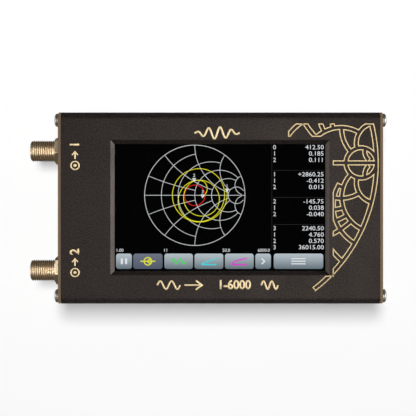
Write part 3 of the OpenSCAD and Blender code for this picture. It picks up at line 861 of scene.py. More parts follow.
rule_x = column_left - 0.5 * mm
rule_width = 0.15 * mm
rules = [stroke([(rule_x, screen_y - 18 * mm), (rule_x, screen_y + 26.5 * mm)], rule_width)]
for y in (15.8, 4.3, -7.2):
    rules.append(stroke([(column_left, screen_y + y * mm), (column_right, screen_y + y * mm)], rule_width))
for rule in rules:
    pressed_flat(rule, screen_z, screen_z + layer)
screen_grey = lit_cells("screen_grey", (0.03, 0.03, 0.032))
screen_piece(rules, "readout_rules", screen_grey)

# Soft keys: rounded, paler at the top, with one pressed in. Their places across the screen are
# in millimetres from its middle.
key_y = screen_y - 22.8 * mm
key_h = 6.5 * mm


def soft_key(left, right):
    """A rounded key on the screen between two places across the panel."""
    bpy.ops.mesh.primitive_plane_add(size=1, location=(screen_x + (left + right) / 2 * mm, key_y, 0))
    key = bpy.context.object
    key.scale = ((right - left) * mm, key_h, 1)
    bpy.ops.object.transform_apply(location=True, rotation=True, scale=True)
    bpy.ops.object.mode_set(mode="EDIT")
    bpy.ops.mesh.select_all(action="SELECT")
    bpy.ops.mesh.bevel(offset=1.1 * mm, segments=6, affect="VERTICES")
    bpy.ops.object.mode_set(mode="OBJECT")
    thicken(key, screen_z, screen_z + layer)
    return key


key_light = lit_cells("key_light", (0.52, 0.59, 0.63), (0.14, 0.18, 0.21), key_y, key_h / 2)
key_dark = lit_cells("key_dark", (0.17, 0.19, 0.25), (0.09, 0.11, 0.16), key_y, key_h / 2)
key_spans = ((-44.1, -37.4), (-23.6, -11.5), (-10.8, 1.4), (2.1, 14.3), (15.0, 21.6), (22.8, 43.8))
screen_piece([soft_key(left, right) for left, right in key_spans], "soft_keys", key_light)
screen_piece([soft_key(-36.8, -24.4)], "soft_key_pressed", key_dark)


def key_sign(middle, points, width=0.45, closed=False):
    """A small drawn sign on a key; its points are in millimetres from the key's middle."""
    path = [(screen_x + (middle + x) * mm, key_y + y * mm) for x, y in points]
    return pressed_flat(stroke(path, width * mm, closed), screen_z + layer, screen_z + 2 * layer)


ring_turns = [math.tau * i / 24 for i in range(24)]
ring_sign = [(1.6 * math.cos(turn), 1.6 * math.sin(turn)) for turn in ring_turns]
inner_ring = [(0.8 + 0.8 * math.cos(turn), 0.8 * math.sin(turn)) for turn in ring_turns]
level_line = [(-3.2, 0), (3.2, 0)]
base_line = [(-3.2, -1.4), (3.2, -1.4)]
wave_sign = [(-3.2 + 6.4 * i / 32, 1.1 * math.sin(math.tau * 2 * i / 32)) for i in range(33)]
ramp_sign = [(-3.2, -1.2), (-1.2, -0.4), (0.4, 0.2), (3.2, 1.2)]
curve_sign = [(-3.2 + 6.4 * i / 16, -1.2 + 2.4 * math.log(1 + 9 * i / 16) / math.log(10)) for i in range(17)]
screen_piece([*[key_sign(-40.75, [(x, -1.2), (x, 1.2)], 0.9) for x in (-0.9, 0.9)],
              key_sign(18.3, [(-0.6, 1.2), (0.6, 0), (-0.6, -1.2)], 0.55),
              *[key_sign(33.3, [(-3, y), (3, y)]) for y in (1.1, 0, -1.1)]],
             "key_signs_white", screen_white)
for name, middle, drawing, colour in (
    ("yellow", -30.6, [(ring_sign, True), (level_line, False), (inner_ring, True)], (0.8, 0.78, 0.05)),
    ("green", -17.6, [(wave_sign, False)], (0.05, 0.8, 0.1)),
    ("cyan", -4.7, [(ramp_sign, False), (base_line, False)], (0.05, 0.75, 0.8)),
    ("magenta", 8.2, [(curve_sign, False), (base_line, False)], (0.85, 0.03, 0.7)),
):
    signs = [key_sign(middle, points, 0.5, closed) for points, closed in drawing]
    screen_piece(signs, "key_sign_" + name, lit_cells("screen_" + name + "_sign", colour))


# ---------------------------------------------------------------------------
# End plates: routed glass-fibre laminate, black mask on both faces and the
# bare tan core showing round the edge. Four screws hold each to the shells.
# ---------------------------------------------------------------------------


def laminate_core(name, light, dark):
    """The routed edge of glass-fibre laminate: thin cloth layers and ragged fibre ends."""
    material = bpy.data.materials.new(name)
    material.use_nodes = True
    tree = material.node_tree
    tree.nodes.clear()
    place = tree.nodes.new("ShaderNodeTexCoord")
    place.label = "place on the plate"
    cloth = tree.nodes.new("ShaderNodeTexWave")
    cloth.label = "layers of glass cloth"
    cloth.bands_direction = "X"
    cloth.inputs["Scale"].default_value = 1400
    cloth.inputs["Distortion"].default_value = 2
    fibres = tree.nodes.new("ShaderNodeTexNoise")
    fibres.label = "cut fibre ends"
    fibres.inputs["Scale"].default_value = 3500
    fibres.inputs["Detail"].default_value = 4
    both = tree.nodes.new("ShaderNodeMath")
    both.label = "layers broken by fibres"
    both.operation = "MULTIPLY"
    colour = tree.nodes.new("ShaderNodeMix")
    colour.label = "resin to glass"
    colour.data_type = "RGBA"
    colour.inputs["A"].default_value = (*light, 1)
    colour.inputs["B"].default_value = (*dark, 1)
    rough = tree.nodes.new("ShaderNodeBump")
    rough.label = "router marks"
    rough.inputs["Strength"].default_value = 0.4
    rough.inputs["Distance"].default_value = 0.00003
    core = tree.nodes.new("ShaderNodeBsdfPrincipled")
    core.label = "laminate core"
    core.inputs["Roughness"].default_value = 0.6
    output = tree.nodes.new("ShaderNodeOutputMaterial")
    output.label = "plate edge"
    tree.links.new(place.outputs["Object"], cloth.inputs["Vector"])
    tree.links.new(place.outputs["Object"], fibres.inputs["Vector"])
    tree.links.new(cloth.outputs["Fac"], both.inputs[0])
    tree.links.new(fibres.outputs["Fac"], both.inputs[1])
    tree.links.new(both.outputs["Value"], colour.inputs["Factor"])
    tree.links.new(colour.outputs["Result"], core.inputs["Base Color"])
    tree.links.new(fibres.outputs["Fac"], rough.inputs["Height"])
    tree.links.new(rough.outputs["Normal"], core.inputs["Normal"])
    tree.links.new(core.outputs["BSDF"], output.inputs["Surface"])
    lay_out(tree, layers=[place, cloth, fibres, both, colour], surface=[rough, core, output])
    return material


plate_mask = black_anodising("plate_mask", (0.012, 0.011, 0.010), (0.018, 0.016, 0.015), 0.38)
plate_core = laminate_core("plate_core", (0.38, 0.255, 0.14), (0.2, 0.132, 0.071))
for side in ("left", "right"):
    plate = machined(side + "_end_plate", 0.08 * mm)
    plate.data.materials.append(plate_mask)
    plate.data.materials.append(plate_core)
    for polygon in plate.data.polygons:
        polygon.material_index = 0 if abs(polygon.normal.x) > 0.5 else 1
    settle(plate, side + "_laminate_plate", "end_plate_laminate", side + "_end_plate")


# ---------------------------------------------------------------------------
# Plate screws: pan heads with a cross recess, zinc plated steel. One screw is
# turned and copied to the four corners of each end plate.
# ---------------------------------------------------------------------------


def plated_metal(name, colour, shade, roughness, marks, wear=0.06):
    """Plated metal: fine tool rings or brushing, uneven shine and darker handled patches."""
    material = bpy.data.materials.new(name)
    material.use_nodes = True
    tree = material.node_tree
    tree.nodes.clear()
    place = tree.nodes.new("ShaderNodeTexCoord")
    place.label = "place on the part"
    stretch = tree.nodes.new("ShaderNodeMapping")
    stretch.label = "marks run round the part"
    stretch.inputs["Scale"].default_value = (1, 0.04, 0.04)
    rings = tree.nodes.new("ShaderNodeTexNoise")
    rings.label = "tool marks"
    rings.inputs["Scale"].default_value = marks
    rings.inputs["Detail"].default_value = 3
    patches = tree.nodes.new("ShaderNodeTexNoise")
    patches.label = "handled patches"
    patches.inputs["Scale"].default_value = 260
    patches.inputs["Detail"].default_value = 4
    tint = tree.nodes.new("ShaderNodeMix")
    tint.label = "bright to dull plating"
    tint.data_type = "RGBA"
    tint.inputs["A"].default_value = (*colour, 1)
    tint.inputs["B"].default_value = (*shade, 1)
    shine = tree.nodes.new("ShaderNodeMapRange")
    shine.label = "patches are duller"
    shine.inputs["From Min"].default_value = 0.3
    shine.inputs["From Max"].default_value = 0.7
    shine.inputs["To Min"].default_value = roughness - wear
    shine.inputs["To Max"].default_value = roughness + wear
    grooves = tree.nodes.new("ShaderNodeBump")
    grooves.label = "marks are cut in"
    grooves.inputs["Strength"].default_value = 0.15
    grooves.inputs["Distance"].default_value = 0.00001
    metal = tree.nodes.new("ShaderNodeBsdfPrincipled")
    metal.label = "plated metal"
    metal.inputs["Metallic"].default_value = 1
    output = tree.nodes.new("ShaderNodeOutputMaterial")
    output.label = "metal part"
    tree.links.new(place.outputs["Object"], stretch.inputs["Vector"])
    tree.links.new(stretch.outputs["Vector"], rings.inputs["Vector"])
    tree.links.new(place.outputs["Object"], patches.inputs["Vector"])
    tree.links.new(patches.outputs["Fac"], tint.inputs["Factor"])
    tree.links.new(tint.outputs["Result"], metal.inputs["Base Color"])
    tree.links.new(patches.outputs["Fac"], shine.inputs["Value"])
    tree.links.new(shine.outputs["Result"], metal.inputs["Roughness"])
    tree.links.new(rings.outputs["Fac"], grooves.inputs["Height"])
    tree.links.new(grooves.outputs["Normal"], metal.inputs["Normal"])
    tree.links.new(metal.outputs["BSDF"], output.inputs["Surface"])
    lay_out(tree, tool_marks=[place, stretch, rings, grooves], wear=[patches, tint, shine],
            surface=[metal, output])
    return material


def turned(outline, steps=48):
    """Spin an outline of (along, radius) places round the X axis; both ends may lie on the axis."""
    bpy.ops.mesh.primitive_circle_add(vertices=len(outline), radius=1)
    piece = bpy.context.object
    for vertex, (along, radius) in zip(piece.data.vertices, outline):
        vertex.co = (along, radius, 0)
    bpy.ops.object.mode_set(mode="EDIT")
    bpy.ops.mesh.select_all(action="SELECT")
    bpy.ops.mesh.spin(steps=steps, angle=math.tau, center=(0, 0, 0), axis=(1, 0, 0), use_auto_merge=True)
    bpy.ops.mesh.select_all(action="SELECT")
    bpy.ops.mesh.remove_doubles(threshold=0.002 * mm)
    bpy.ops.mesh.dissolve_degenerate(threshold=0.001 * mm)
    bpy.ops.mesh.delete_loose()
    bpy.ops.mesh.select_all(action="SELECT")
    bpy.ops.mesh.normals_make_consistent(inside=False)
    bpy.ops.object.mode_set(mode="OBJECT")
    return piece


def cut(piece, cutter, operation="DIFFERENCE"):
    """Cut one solid with another and throw the cutter away."""
    tool = piece.modifiers.new("cut", "BOOLEAN")
    tool.operation = operation
    tool.object = cutter
    pick(piece)
    bpy.ops.object.modifier_apply(modifier=tool.name)
    bpy.data.objects.remove(cutter)


def block(low, high):
    """A box between two corners."""
    low, high = Vector(low), Vector(high)
    bpy.ops.mesh.primitive_cube_add(size=1, location=(low + high) / 2)
    box = bpy.context.object
    box.scale = high - low
    bpy.ops.object.transform_apply(location=True, rotation=True, scale=True)
    return box


def edged(piece, edge, angle=30, segments=2):
    """Break the sharp edges of a modelled piece and shade it."""
    pick(piece)
    broken = piece.modifiers.new("broken_edges", "BEVEL")
    broken.width = edge
    broken.segments = segments
    broken.limit_method = "ANGLE"
    broken.angle_limit = math.radians(angle)
    bpy.ops.object.modifier_apply(modifier=broken.name)
    flatten_shading(piece, angle)


def spread(original, moves):
    """Copies of a piece, each with its own mesh, moved from where the original is."""
    copies = []
    for move in moves:
        copy = original.copy()
        copy.data = original.data.copy()
        bpy.context.scene.collection.objects.link(copy)
        copy.matrix_world = move @ original.matrix_world
        copies.append(copy)
    bpy.data.objects.remove(original)
    return joined(copies)


def domed(start, rise, radius, fullness, step):
    """The outline of a domed end, from just past its rim to just short of the axis."""
    angles = [math.radians(a) for a in range(step, 90, step)]
    return [(start + rise * math.sin(a), radius * math.cos(a) ** fullness) for a in angles]


def cross_screw(outline, slot, recess, edge, steps):
    """A screw along X with its seat at X = 0, turned and struck with a cross; sizes in millimetres."""
    screw = turned([(along * mm, radius * mm) for along, radius in outline], steps)
    for wide, high in (slot, slot[::-1]):
        cut(screw, block((recess[0] * mm, -wide / 2 * mm, -high / 2 * mm),
                         (recess[1] * mm, wide / 2 * mm, high / 2 * mm)))
    edged(screw, edge * mm, 40)
    return screw


screw_outline = [(-9, 0), (-9, 1.1), (-8.5, 1.45), (0, 1.45), (0, 2.6), (0.2, 2.8), (1.05, 2.8),
                 *domed(1.05, 0.95, 2.8, 0.8, 10), (2, 0)]
screw = cross_screw(screw_outline, (0.7, 3.0), (0.9, 2.5), 0.06, 48)
zinc = plated_metal("zinc_plating", (0.80, 0.74, 0.65), (0.64, 0.58, 0.50), 0.42, 6000)
screw.data.materials.append(zinc)
head_r = 2.8 * mm
head_height = 2 * mm
screw_moves = {"left": [], "right": []}
for side in screw_moves:
    low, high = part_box(side + "_end_screws")
    seat = low.x + head_height if side == "left" else high.x - head_height
    facing = math.pi if side == "left" else 0.0
    for y in (low.y + head_r, high.y - head_r):
        for z in (low.z + head_r, high.z - head_r):
            # Each screw stops at an angle of its own.
            twist = math.radians((y * 9000 + z * 17000) % 90)
            screw_moves[side].append(Matrix.Translation((seat, y, z))
                                     @ Matrix.Rotation(facing, 4, "Z") @ Matrix.Rotation(twist, 4, "X"))
spare = screw.copy()
spare.data = screw.data.copy()
bpy.context.scene.collection.objects.link(spare)
for side, one in (("left", screw), ("right", spare)):
    settle(spread(one, screw_moves[side]), side + "_pan_screws", "screw_steel", side + "_end_screws")


# ---------------------------------------------------------------------------
# Ports: gold plated brass jacks with a rolled thread, each with its own nut and
# washer outside the left plate, a white insulator and a split centre contact.
# ---------------------------------------------------------------------------
jack_gold = plated_metal("jack_gold", (0.92, 0.76, 0.54), (0.80, 0.64, 0.43), 0.36, 5000)
# The next gold is painted shade: a darker gold for the thread roots, where shade falls between the crests.
groove_shade_gold = plated_metal("groove_shade_gold", (0.34, 0.26, 0.16), (0.26, 0.19, 0.11), 0.5, 5000)
nut_gold = plated_metal("nut_gold", (0.84, 0.70, 0.50), (0.70, 0.56, 0.38), 0.34, 5000)
contact_gold = plated_metal("contact_gold", (0.86, 0.62, 0.28), (0.74, 0.50, 0.20), 0.22, 8000)
white_insulator = moulded("white_insulator", (0.78, 0.76, 0.72), (0.70, 0.68, 0.63), 0.4, 2600, 0.00001)
pitch = 0.92 * mm
thread_turns = 13
thread_length = 10.3 * mm
lead_in = 0.6 * mm
root, crest = 4.1 * mm, 4.5 * mm
mouth_r, bore_r = 3.3 * mm, 3.0 * mm
flange_r = 6.2 * mm
flange_front, bore_floor, flange_back = -67.3 * mm, -67.0 * mm, -65.7 * mm
for port in ("port_1", "port_2"):
    body_low, body_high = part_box(port + "_jack")
    nut_low, nut_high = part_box(port + "_nut")
    axis_y = (nut_low.y + nut_high.y) / 2
    axis_z = (nut_low.z + nut_high.z) / 2
    tip = body_low.x
    # One pitch of the thread is screwed round the axis, then trimmed by a turned blank.
    bpy.ops.mesh.primitive_circle_add(vertices=6, radius=1)
    rib = bpy.context.object
    profile = [(0, root), (0.2, root), (0.4, crest), (0.6, crest), (0.8, root), (1, root)]
    for vertex, (along, radius) in zip(rib.data.vertices, profile):
        vertex.co = (along * pitch, radius, 0)
    # The line that closes the profile would lie inside the metal, so it goes.
    bpy.ops.object.mode_set(mode="EDIT")
    bpy.ops.mesh.select_all(action="DESELECT")
    bpy.ops.object.mode_set(mode="OBJECT")
    for edge in rib.data.edges:
        edge.select = set(edge.vertices) == {0, 5}
    bpy.ops.object.mode_set(mode="EDIT")
    bpy.ops.mesh.select_mode(type="EDGE")
    bpy.ops.mesh.delete(type="EDGE")
    bpy.ops.object.mode_set(mode="OBJECT")
    helix = rib.modifiers.new("thread", "SCREW")
    helix.axis = "X"
    helix.angle = math.tau
    helix.screw_offset = pitch
    helix.steps = 48
    helix.render_steps = 48
    helix.iterations = thread_turns
    helix.use_merge_vertices = False
    bpy.ops.object.modifier_apply(modifier=helix.name)
    bpy.ops.object.mode_set(mode="EDIT")
    bpy.ops.mesh.select_all(action="SELECT")
    bpy.ops.mesh.remove_doubles(threshold=0.01 * mm)
    for end_x, away in ((1.05 * pitch, -1), (1.2 * pitch + thread_length, 1)):
        bpy.ops.mesh.select_all(action="SELECT")
        bpy.ops.mesh.bisect(plane_co=(end_x, 0, 0), plane_no=(away, 0, 0), clear_outer=True, use_fill=True)
    bpy.ops.mesh.select_all(action="SELECT")
    bpy.ops.mesh.normals_make_consistent(inside=False)
    bpy.ops.object.mode_set(mode="OBJECT")
    rib.location = (tip - 1.2 * pitch, 0, 0)
    bpy.ops.object.transform_apply(location=True, rotation=True, scale=True)
    end = tip + thread_length
    blank = turned([(tip, mouth_r), (tip, 3.95 * mm), (tip + lead_in, 4.55 * mm), (end + mm, 4.55 * mm),
                    (end + mm, bore_r), (tip + 2 * mm, bore_r), (tip + 2 * mm, mouth_r)])
    cut(rib, blank, "INTERSECT")
    flatten_shading(rib, 25)
    rib.data.materials.append(jack_gold)
    rib.data.materials.append(groove_shade_gold)
    # Root faces past the lead-in take the darker gold, which is painted shade in the grooves of the thread.
    for polygon in rib.data.polygons:
        along, across, up = polygon.center
        at_root = abs(math.hypot(across, up) - root) < 0.05 * mm
        polygon.material_index = int(along > tip + lead_in and at_root)
    body = turned([(end - 0.3 * mm, bore_r), (end - 0.3 * mm, root), (flange_front, root),
                   (flange_front, flange_r - 0.1 * mm), (flange_front + 0.1 * mm, flange_r),
                   (flange_back - 0.1 * mm, flange_r), (flange_back, flange_r - 0.1 * mm),
                   (flange_back, 0.75 * mm), (bore_floor, 0.75 * mm), (bore_floor, bore_r)], 64)
    flatten_shading(body, 30)
    body.data.materials.append(jack_gold)
    jack = joined([rib, body])
    jack.location = (0, axis_y, axis_z)
    settle(jack, port + "_threaded_jack", "port_gold", port + "_jack")
    legs = []
    for across in (axis_y - 4.2 * mm, axis_y + 4.2 * mm):
        for low in (axis_z - 0.6 * mm, axis_z - 3.4 * mm):
            legs.append(block((flange_back - 0.2 * mm, across - 0.6 * mm, low),
                              (body_high.x, across + 0.6 * mm, low + 1.2 * mm)))
    legs = joined(legs)
    edged(legs, 0.1 * mm)
    legs.data.materials.append(jack_gold)
    settle(legs, port + "_board_legs", "port_gold")
    nut = dressed(port + "_nut", port + "_hex_nut", 0.12 * mm, "port_nut_gold", nut_gold)
    for piece in (jack, nut):
        ports_only.objects.link(piece)
        no_port_shadow.objects.link(piece)
        no_port_shadow.collection_objects[-1].light_linking.link_state = "EXCLUDE"
    dressed(port + "_washer", port + "_flat_washer", 0.08 * mm, "port_nut_gold", nut_gold)
    dressed(port + "_insulator", port + "_white_insulator", 0.1 * mm, "insulator", white_insulator)
    contact = machined(port + "_contact", 0.05 * mm)
    mouth = tip + 1.9 * mm
    for wide, high in ((0.09, 0.7), (0.7, 0.09)):
        cut(contact, block((mouth, axis_y - wide * mm, axis_z - high * mm),
                           (mouth + 3.5 * mm, axis_y + wide * mm, axis_z + high * mm)))
    flatten_shading(contact)
    contact.data.materials.append(contact_gold)
    settle(contact, port + "_split_contact", "contact_gold", port + "_contact")


# ---------------------------------------------------------------------------
# Charging end: the socket with its tongue and contacts, two light pipes over
# their lamps, and the power button with its switch.
# ---------------------------------------------------------------------------


bright_steel = plated_metal("bright_steel", (0.72, 0.72, 0.73), (0.55, 0.55, 0.56), 0.22, 4000)
black_plastic = moulded("black_plastic", (0.014, 0.014, 0.014), (0.02, 0.02, 0.02), 0.42, 2600, 0.00001)
button_rubber = moulded("button_rubber", (0.018, 0.017, 0.016), (0.026, 0.024, 0.022), 0.55, 3200, 0.00002)
dressed("usb_shell", "socket_shell", 0.06 * mm, "usb_steel", bright_steel)
dressed("usb_tongue", "socket_tongue", 0.08 * mm, "usb_tongue", black_plastic)
tongue_low, tongue_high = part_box("usb_tongue")
contacts = []
for i in range(12):
    across = tongue_low.y + (0.6 + 5.5 * i / 11) * mm
    for low in (tongue_high.z - 0.01 * mm, tongue_low.z - 0.03 * mm):
        contacts.append(block((tongue_low.x + 0.6 * mm, across - 0.12 * mm, low),
                              (tongue_high.x - 0.4 * mm, across + 0.12 * mm, low + 0.04 * mm)))
contacts = joined(contacts)
contacts.data.materials.append(contact_gold)
settle(contacts, "socket_contacts", "contact_gold")

pipes_low, pipes_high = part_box("light_pipes")
pipe_r = (pipes_high.z - pipes_low.z) / 2
pipe_z = (pipes_high.z + pipes_low.z) / 2
dome_height = 0.35 * mm
dome_start = pipes_high.x - dome_height
pipe = turned([(pipes_low.x, 0), (pipes_low.x, pipe_r * 0.9), (pipes_low.x + 0.1 * mm, pipe_r),
               (dome_start, pipe_r), *domed(dome_start, dome_height, pipe_r, 0.6, 15), (pipes_high.x, 0)], 32)
flatten_shading(pipe, 60)
pipe_places = (pipes_low.y + pipe_r, pipes_high.y - pipe_r)
pipes = spread(pipe, [Matrix.Translation((0, y, pipe_z)) for y in pipe_places])
pipes.data.materials.append(clear_sheet("light_pipe_acrylic", (0.93, 0.96, 0.97), 0.06, 0.05))
settle(pipes, "domed_light_pipes", "light_pipe", "light_pipes")
lamp_lens = moulded("lamp_lens", (0.72, 0.70, 0.45), (0.62, 0.60, 0.40), 0.25, 2000, 0.000005)
dressed("status_leds", "status_lamps", 0.12 * mm, "led", lamp_lens)

button_low, button_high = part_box("power_button")
button_y, button_z = (button_low.y + button_high.y) / 2, (button_low.z + button_high.z) / 2
flange_x, cap_x = button_low.x, button_high.x
cap_r = 2.9 * mm
groove_x = cap_x - 0.12 * mm
rings = []
for ring in (2.35, 1.75, 1.15, 0.55):
    rings += [(cap_x, ring * mm), (groove_x, (ring - 0.12) * mm), (groove_x, (ring - 0.26) * mm),
              (cap_x, (ring - 0.38) * mm)]
button = turned([(flange_x, 0), (flange_x, 3.4 * mm), (flange_x + 0.1 * mm, 3.5 * mm),
                 (flange_x + 0.9 * mm, 3.5 * mm), (flange_x + mm, 3.4 * mm), (flange_x + mm, cap_r),
                 (cap_x - 0.35 * mm, cap_r), (cap_x - 0.1 * mm, cap_r - 0.1 * mm),
                 (cap_x, cap_r - 0.35 * mm), *rings, (cap_x, 0)], 64)
flatten_shading(button, 35)
button.location = (0, button_y, button_z)
button.data.materials.append(button_rubber)
settle(button, "ringed_power_button", "button_black", "power_button", body="button")
dressed("switch_plunger", "rounded_plunger", 0.15 * mm, "switch_black", black_plastic, body="button")
dressed("power_switch", "switch_body", 0.2 * mm, "switch_black", black_plastic)


# ---------------------------------------------------------------------------
# Display stack behind the glass: a tray of white plastic with the light guide,
# a steel carrier on four brass pillars, and two film cables to the board.
# ---------------------------------------------------------------------------


def film(name, base, track, tracks, metallic, crease):
    """Thin film or foil: metal tracks under a coat, or plain foil, with soft creases."""
    material = bpy.data.materials.new(name)
    material.use_nodes = True
    tree = material.node_tree
    tree.nodes.clear()
    place = tree.nodes.new("ShaderNodeTexCoord")
    place.label = "place on the film"
    lines = tree.nodes.new("ShaderNodeTexWave")
    lines.label = "rows of tracks"
    lines.bands_direction = "Y"
    lines.inputs["Scale"].default_value = tracks
    gaps = tree.nodes.new("ShaderNodeMapRange")
    gaps.label = "sharp track edges"
    gaps.inputs["From Min"].default_value = 0.45
    gaps.inputs["From Max"].default_value = 0.55
    colour = tree.nodes.new("ShaderNodeMix")
    colour.label = "film over tracks"
    colour.data_type = "RGBA"
    colour.inputs["A"].default_value = (*base, 1)
    colour.inputs["B"].default_value = (*track, 1)
    folds = tree.nodes.new("ShaderNodeTexNoise")
    folds.label = "soft creases"
    folds.inputs["Scale"].default_value = 220
    folds.inputs["Detail"].default_value = 5
    folds.inputs["Distortion"].default_value = 0.6
    shine = tree.nodes.new("ShaderNodeMapRange")
    shine.label = "creases break the shine"
    shine.inputs["To Min"].default_value = 0.22
    shine.inputs["To Max"].default_value = 0.5
    creased = tree.nodes.new("ShaderNodeBump")
    creased.label = "creases"
    creased.inputs["Strength"].default_value = 0.5
    creased.inputs["Distance"].default_value = crease
    sheet = tree.nodes.new("ShaderNodeBsdfPrincipled")
    sheet.label = "film"
    sheet.inputs["Metallic"].default_value = metallic
    output = tree.nodes.new("ShaderNodeOutputMaterial")
    output.label = "film part"
    tree.links.new(place.outputs["Object"], lines.inputs["Vector"])
    tree.links.new(lines.outputs["Fac"], gaps.inputs["Value"])
    tree.links.new(gaps.outputs["Result"], colour.inputs["Factor"])
    tree.links.new(colour.outputs["Result"], sheet.inputs["Base Color"])
    tree.links.new(place.outputs["Object"], folds.inputs["Vector"])
    tree.links.new(folds.outputs["Fac"], shine.inputs["Value"])
    tree.links.new(shine.outputs["Result"], sheet.inputs["Roughness"])
    tree.links.new(folds.outputs["Fac"], creased.inputs["Height"])
    tree.links.new(creased.outputs["Normal"], sheet.inputs["Normal"])
    tree.links.new(sheet.outputs["BSDF"], output.inputs["Surface"])
    lay_out(tree, tracks=[place, lines, gaps, colour], creases=[folds, shine, creased],
            surface=[sheet, output])
    return material


white_tray = moulded("white_tray", (0.72, 0.72, 0.70), (0.64, 0.64, 0.62), 0.45, 2400, 0.00001)
carrier_steel = plated_metal("carrier_steel", (0.58, 0.57, 0.55), (0.44, 0.43, 0.41), 0.34, 1500, 0.08)
brass = plated_metal("brass", (0.78, 0.57, 0.27), (0.64, 0.45, 0.20), 0.3, 5000)
amber_film = film("amber_film", (0.36, 0.14, 0.03), (0.62, 0.30, 0.10), 1100, 0.2, 0.00001)
dressed("light_guide", "light_guide_sheet", 0.1 * mm, "light_guide",
        clear_sheet("guide_acrylic", (0.93, 0.95, 0.94), 0.15, 0.1))
dressed("display_frame", "display_tray", 0.12 * mm, "display_frame", white_tray)
dressed("display_carrier", "carrier_sheet", 0.1 * mm, "carrier_steel", carrier_steel)
dressed("display_flex", "display_film_cable", 0.02 * mm, "flex_film", amber_film)
dressed("touch_flex", "touch_film_cable", 0.02 * mm, "flex_film", amber_film)
dressed("display_standoffs", "brass_pillars", 0.12 * mm, "standoff_brass", brass)
small_outline = [(-3.4, 0), (-3.4, 0.8), (-3.1, 1.0), (0, 1.0), (0, 1.95), (0.12, 2.1), (0.5, 2.1),
                 *domed(0.5, 0.8, 2.1, 0.7, 15), (1.3, 0)]
small_r, small_height = 2.1 * mm, 1.3 * mm
for node, facing in (("upper_standoff_screws", 1), ("lower_standoff_screws", -1)):
    low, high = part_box(node)
    small = cross_screw(small_outline, (0.45, 2.0), (0.6, 2), 0.05, 40)
    small.data.materials.append(zinc)
    seat = high.z - small_height if facing > 0 else low.z + small_height
    columns = (low.x + small_r, high.x - small_r)
    lines = (low.y + small_r, high.y - small_r)
    moves = []
    for i, (x, y) in enumerate([(x, y) for x in columns for y in lines]):
        moves.append(Matrix.Translation((x, y, seat)) @ Matrix.Rotation(-facing * math.pi / 2, 4, "Y")
                     @ Matrix.Rotation(math.radians(23 + 31 * i), 4, "X"))
    settle(spread(small, moves), node.replace("standoff", "pillar"), "screw_steel", node)


# ---------------------------------------------------------------------------
# Main board: green circuit board with shielded radio sections, packages with
# their leads, power supplies, clock, small capacitors and cable sockets.
# ---------------------------------------------------------------------------


def circuit_board(name, mask, copper, scale):
    """Solder mask over copper: square-cornered tracks show through as a lighter shade."""
    material = bpy.data.materials.new(name)
    material.use_nodes = True
    tree = material.node_tree
    tree.nodes.clear()
    place = tree.nodes.new("ShaderNodeTexCoord")
    place.label = "place on the board"
    near = tree.nodes.new("ShaderNodeTexVoronoi")
    near.label = "nearest via"
    near.distance = "MANHATTAN"
    near.inputs["Scale"].default_value = scale
    second = tree.nodes.new("ShaderNodeTexVoronoi")
    second.label = "second nearest via"
    second.feature = "F2"
    second.distance = "MANHATTAN"
    second.inputs["Scale"].default_value = scale
    between = tree.nodes.new("ShaderNodeMath")
    between.label = "half way between vias"
    between.operation = "SUBTRACT"
    tracks = tree.nodes.new("ShaderNodeMath")
    tracks.label = "bent tracks"
    tracks.operation = "LESS_THAN"
    tracks.inputs[1].default_value = 0.1
    ends = tree.nodes.new("ShaderNodeMath")
    ends.label = "small round pads"
    ends.operation = "LESS_THAN"
    ends.inputs[1].default_value = 0.12
    etched = tree.nodes.new("ShaderNodeMath")
    etched.label = "tracks and pads"
    etched.operation = "MAXIMUM"
    colour = tree.nodes.new("ShaderNodeMix")
    colour.label = "mask over laminate or copper"
    colour.data_type = "RGBA"
    colour.inputs["A"].default_value = (*mask, 1)
    colour.inputs["B"].default_value = (*copper, 1)
    coat = tree.nodes.new("ShaderNodeTexNoise")
    coat.label = "uneven mask"
    coat.inputs["Scale"].default_value = 1800
    gloss = tree.nodes.new("ShaderNodeMapRange")
    gloss.label = "uneven gloss"
    gloss.inputs["To Min"].default_value = 0.25
    gloss.inputs["To Max"].default_value = 0.5
    raised = tree.nodes.new("ShaderNodeBump")
    raised.label = "copper stands up"
    raised.inputs["Strength"].default_value = 0.4
    raised.inputs["Distance"].default_value = 0.00004
    board = tree.nodes.new("ShaderNodeBsdfPrincipled")
    board.label = "solder mask"
    output = tree.nodes.new("ShaderNodeOutputMaterial")
    output.label = "circuit board"
    tree.links.new(place.outputs["Object"], near.inputs["Vector"])
    tree.links.new(place.outputs["Object"], second.inputs["Vector"])
    tree.links.new(second.outputs["Distance"], between.inputs[0])
    tree.links.new(near.outputs["Distance"], between.inputs[1])
    tree.links.new(between.outputs["Value"], tracks.inputs[0])
    tree.links.new(tracks.outputs["Value"], etched.inputs[0])
    tree.links.new(near.outputs["Distance"], ends.inputs[0])
    tree.links.new(ends.outputs["Value"], etched.inputs[1])
    tree.links.new(etched.outputs["Value"], colour.inputs["Factor"])
    tree.links.new(colour.outputs["Result"], board.inputs["Base Color"])
    tree.links.new(place.outputs["Object"], coat.inputs["Vector"])
    tree.links.new(coat.outputs["Fac"], gloss.inputs["Value"])
    tree.links.new(gloss.outputs["Result"], board.inputs["Roughness"])
    tree.links.new(etched.outputs["Value"], raised.inputs["Height"])
    tree.links.new(raised.outputs["Normal"], board.inputs["Normal"])
    tree.links.new(board.outputs["BSDF"], output.inputs["Surface"])
    lay_out(tree, tracks=[place, near, second, between, tracks], pads=[ends, etched, colour],
            coat=[coat, gloss], surface=[raised, board, output])
    return material


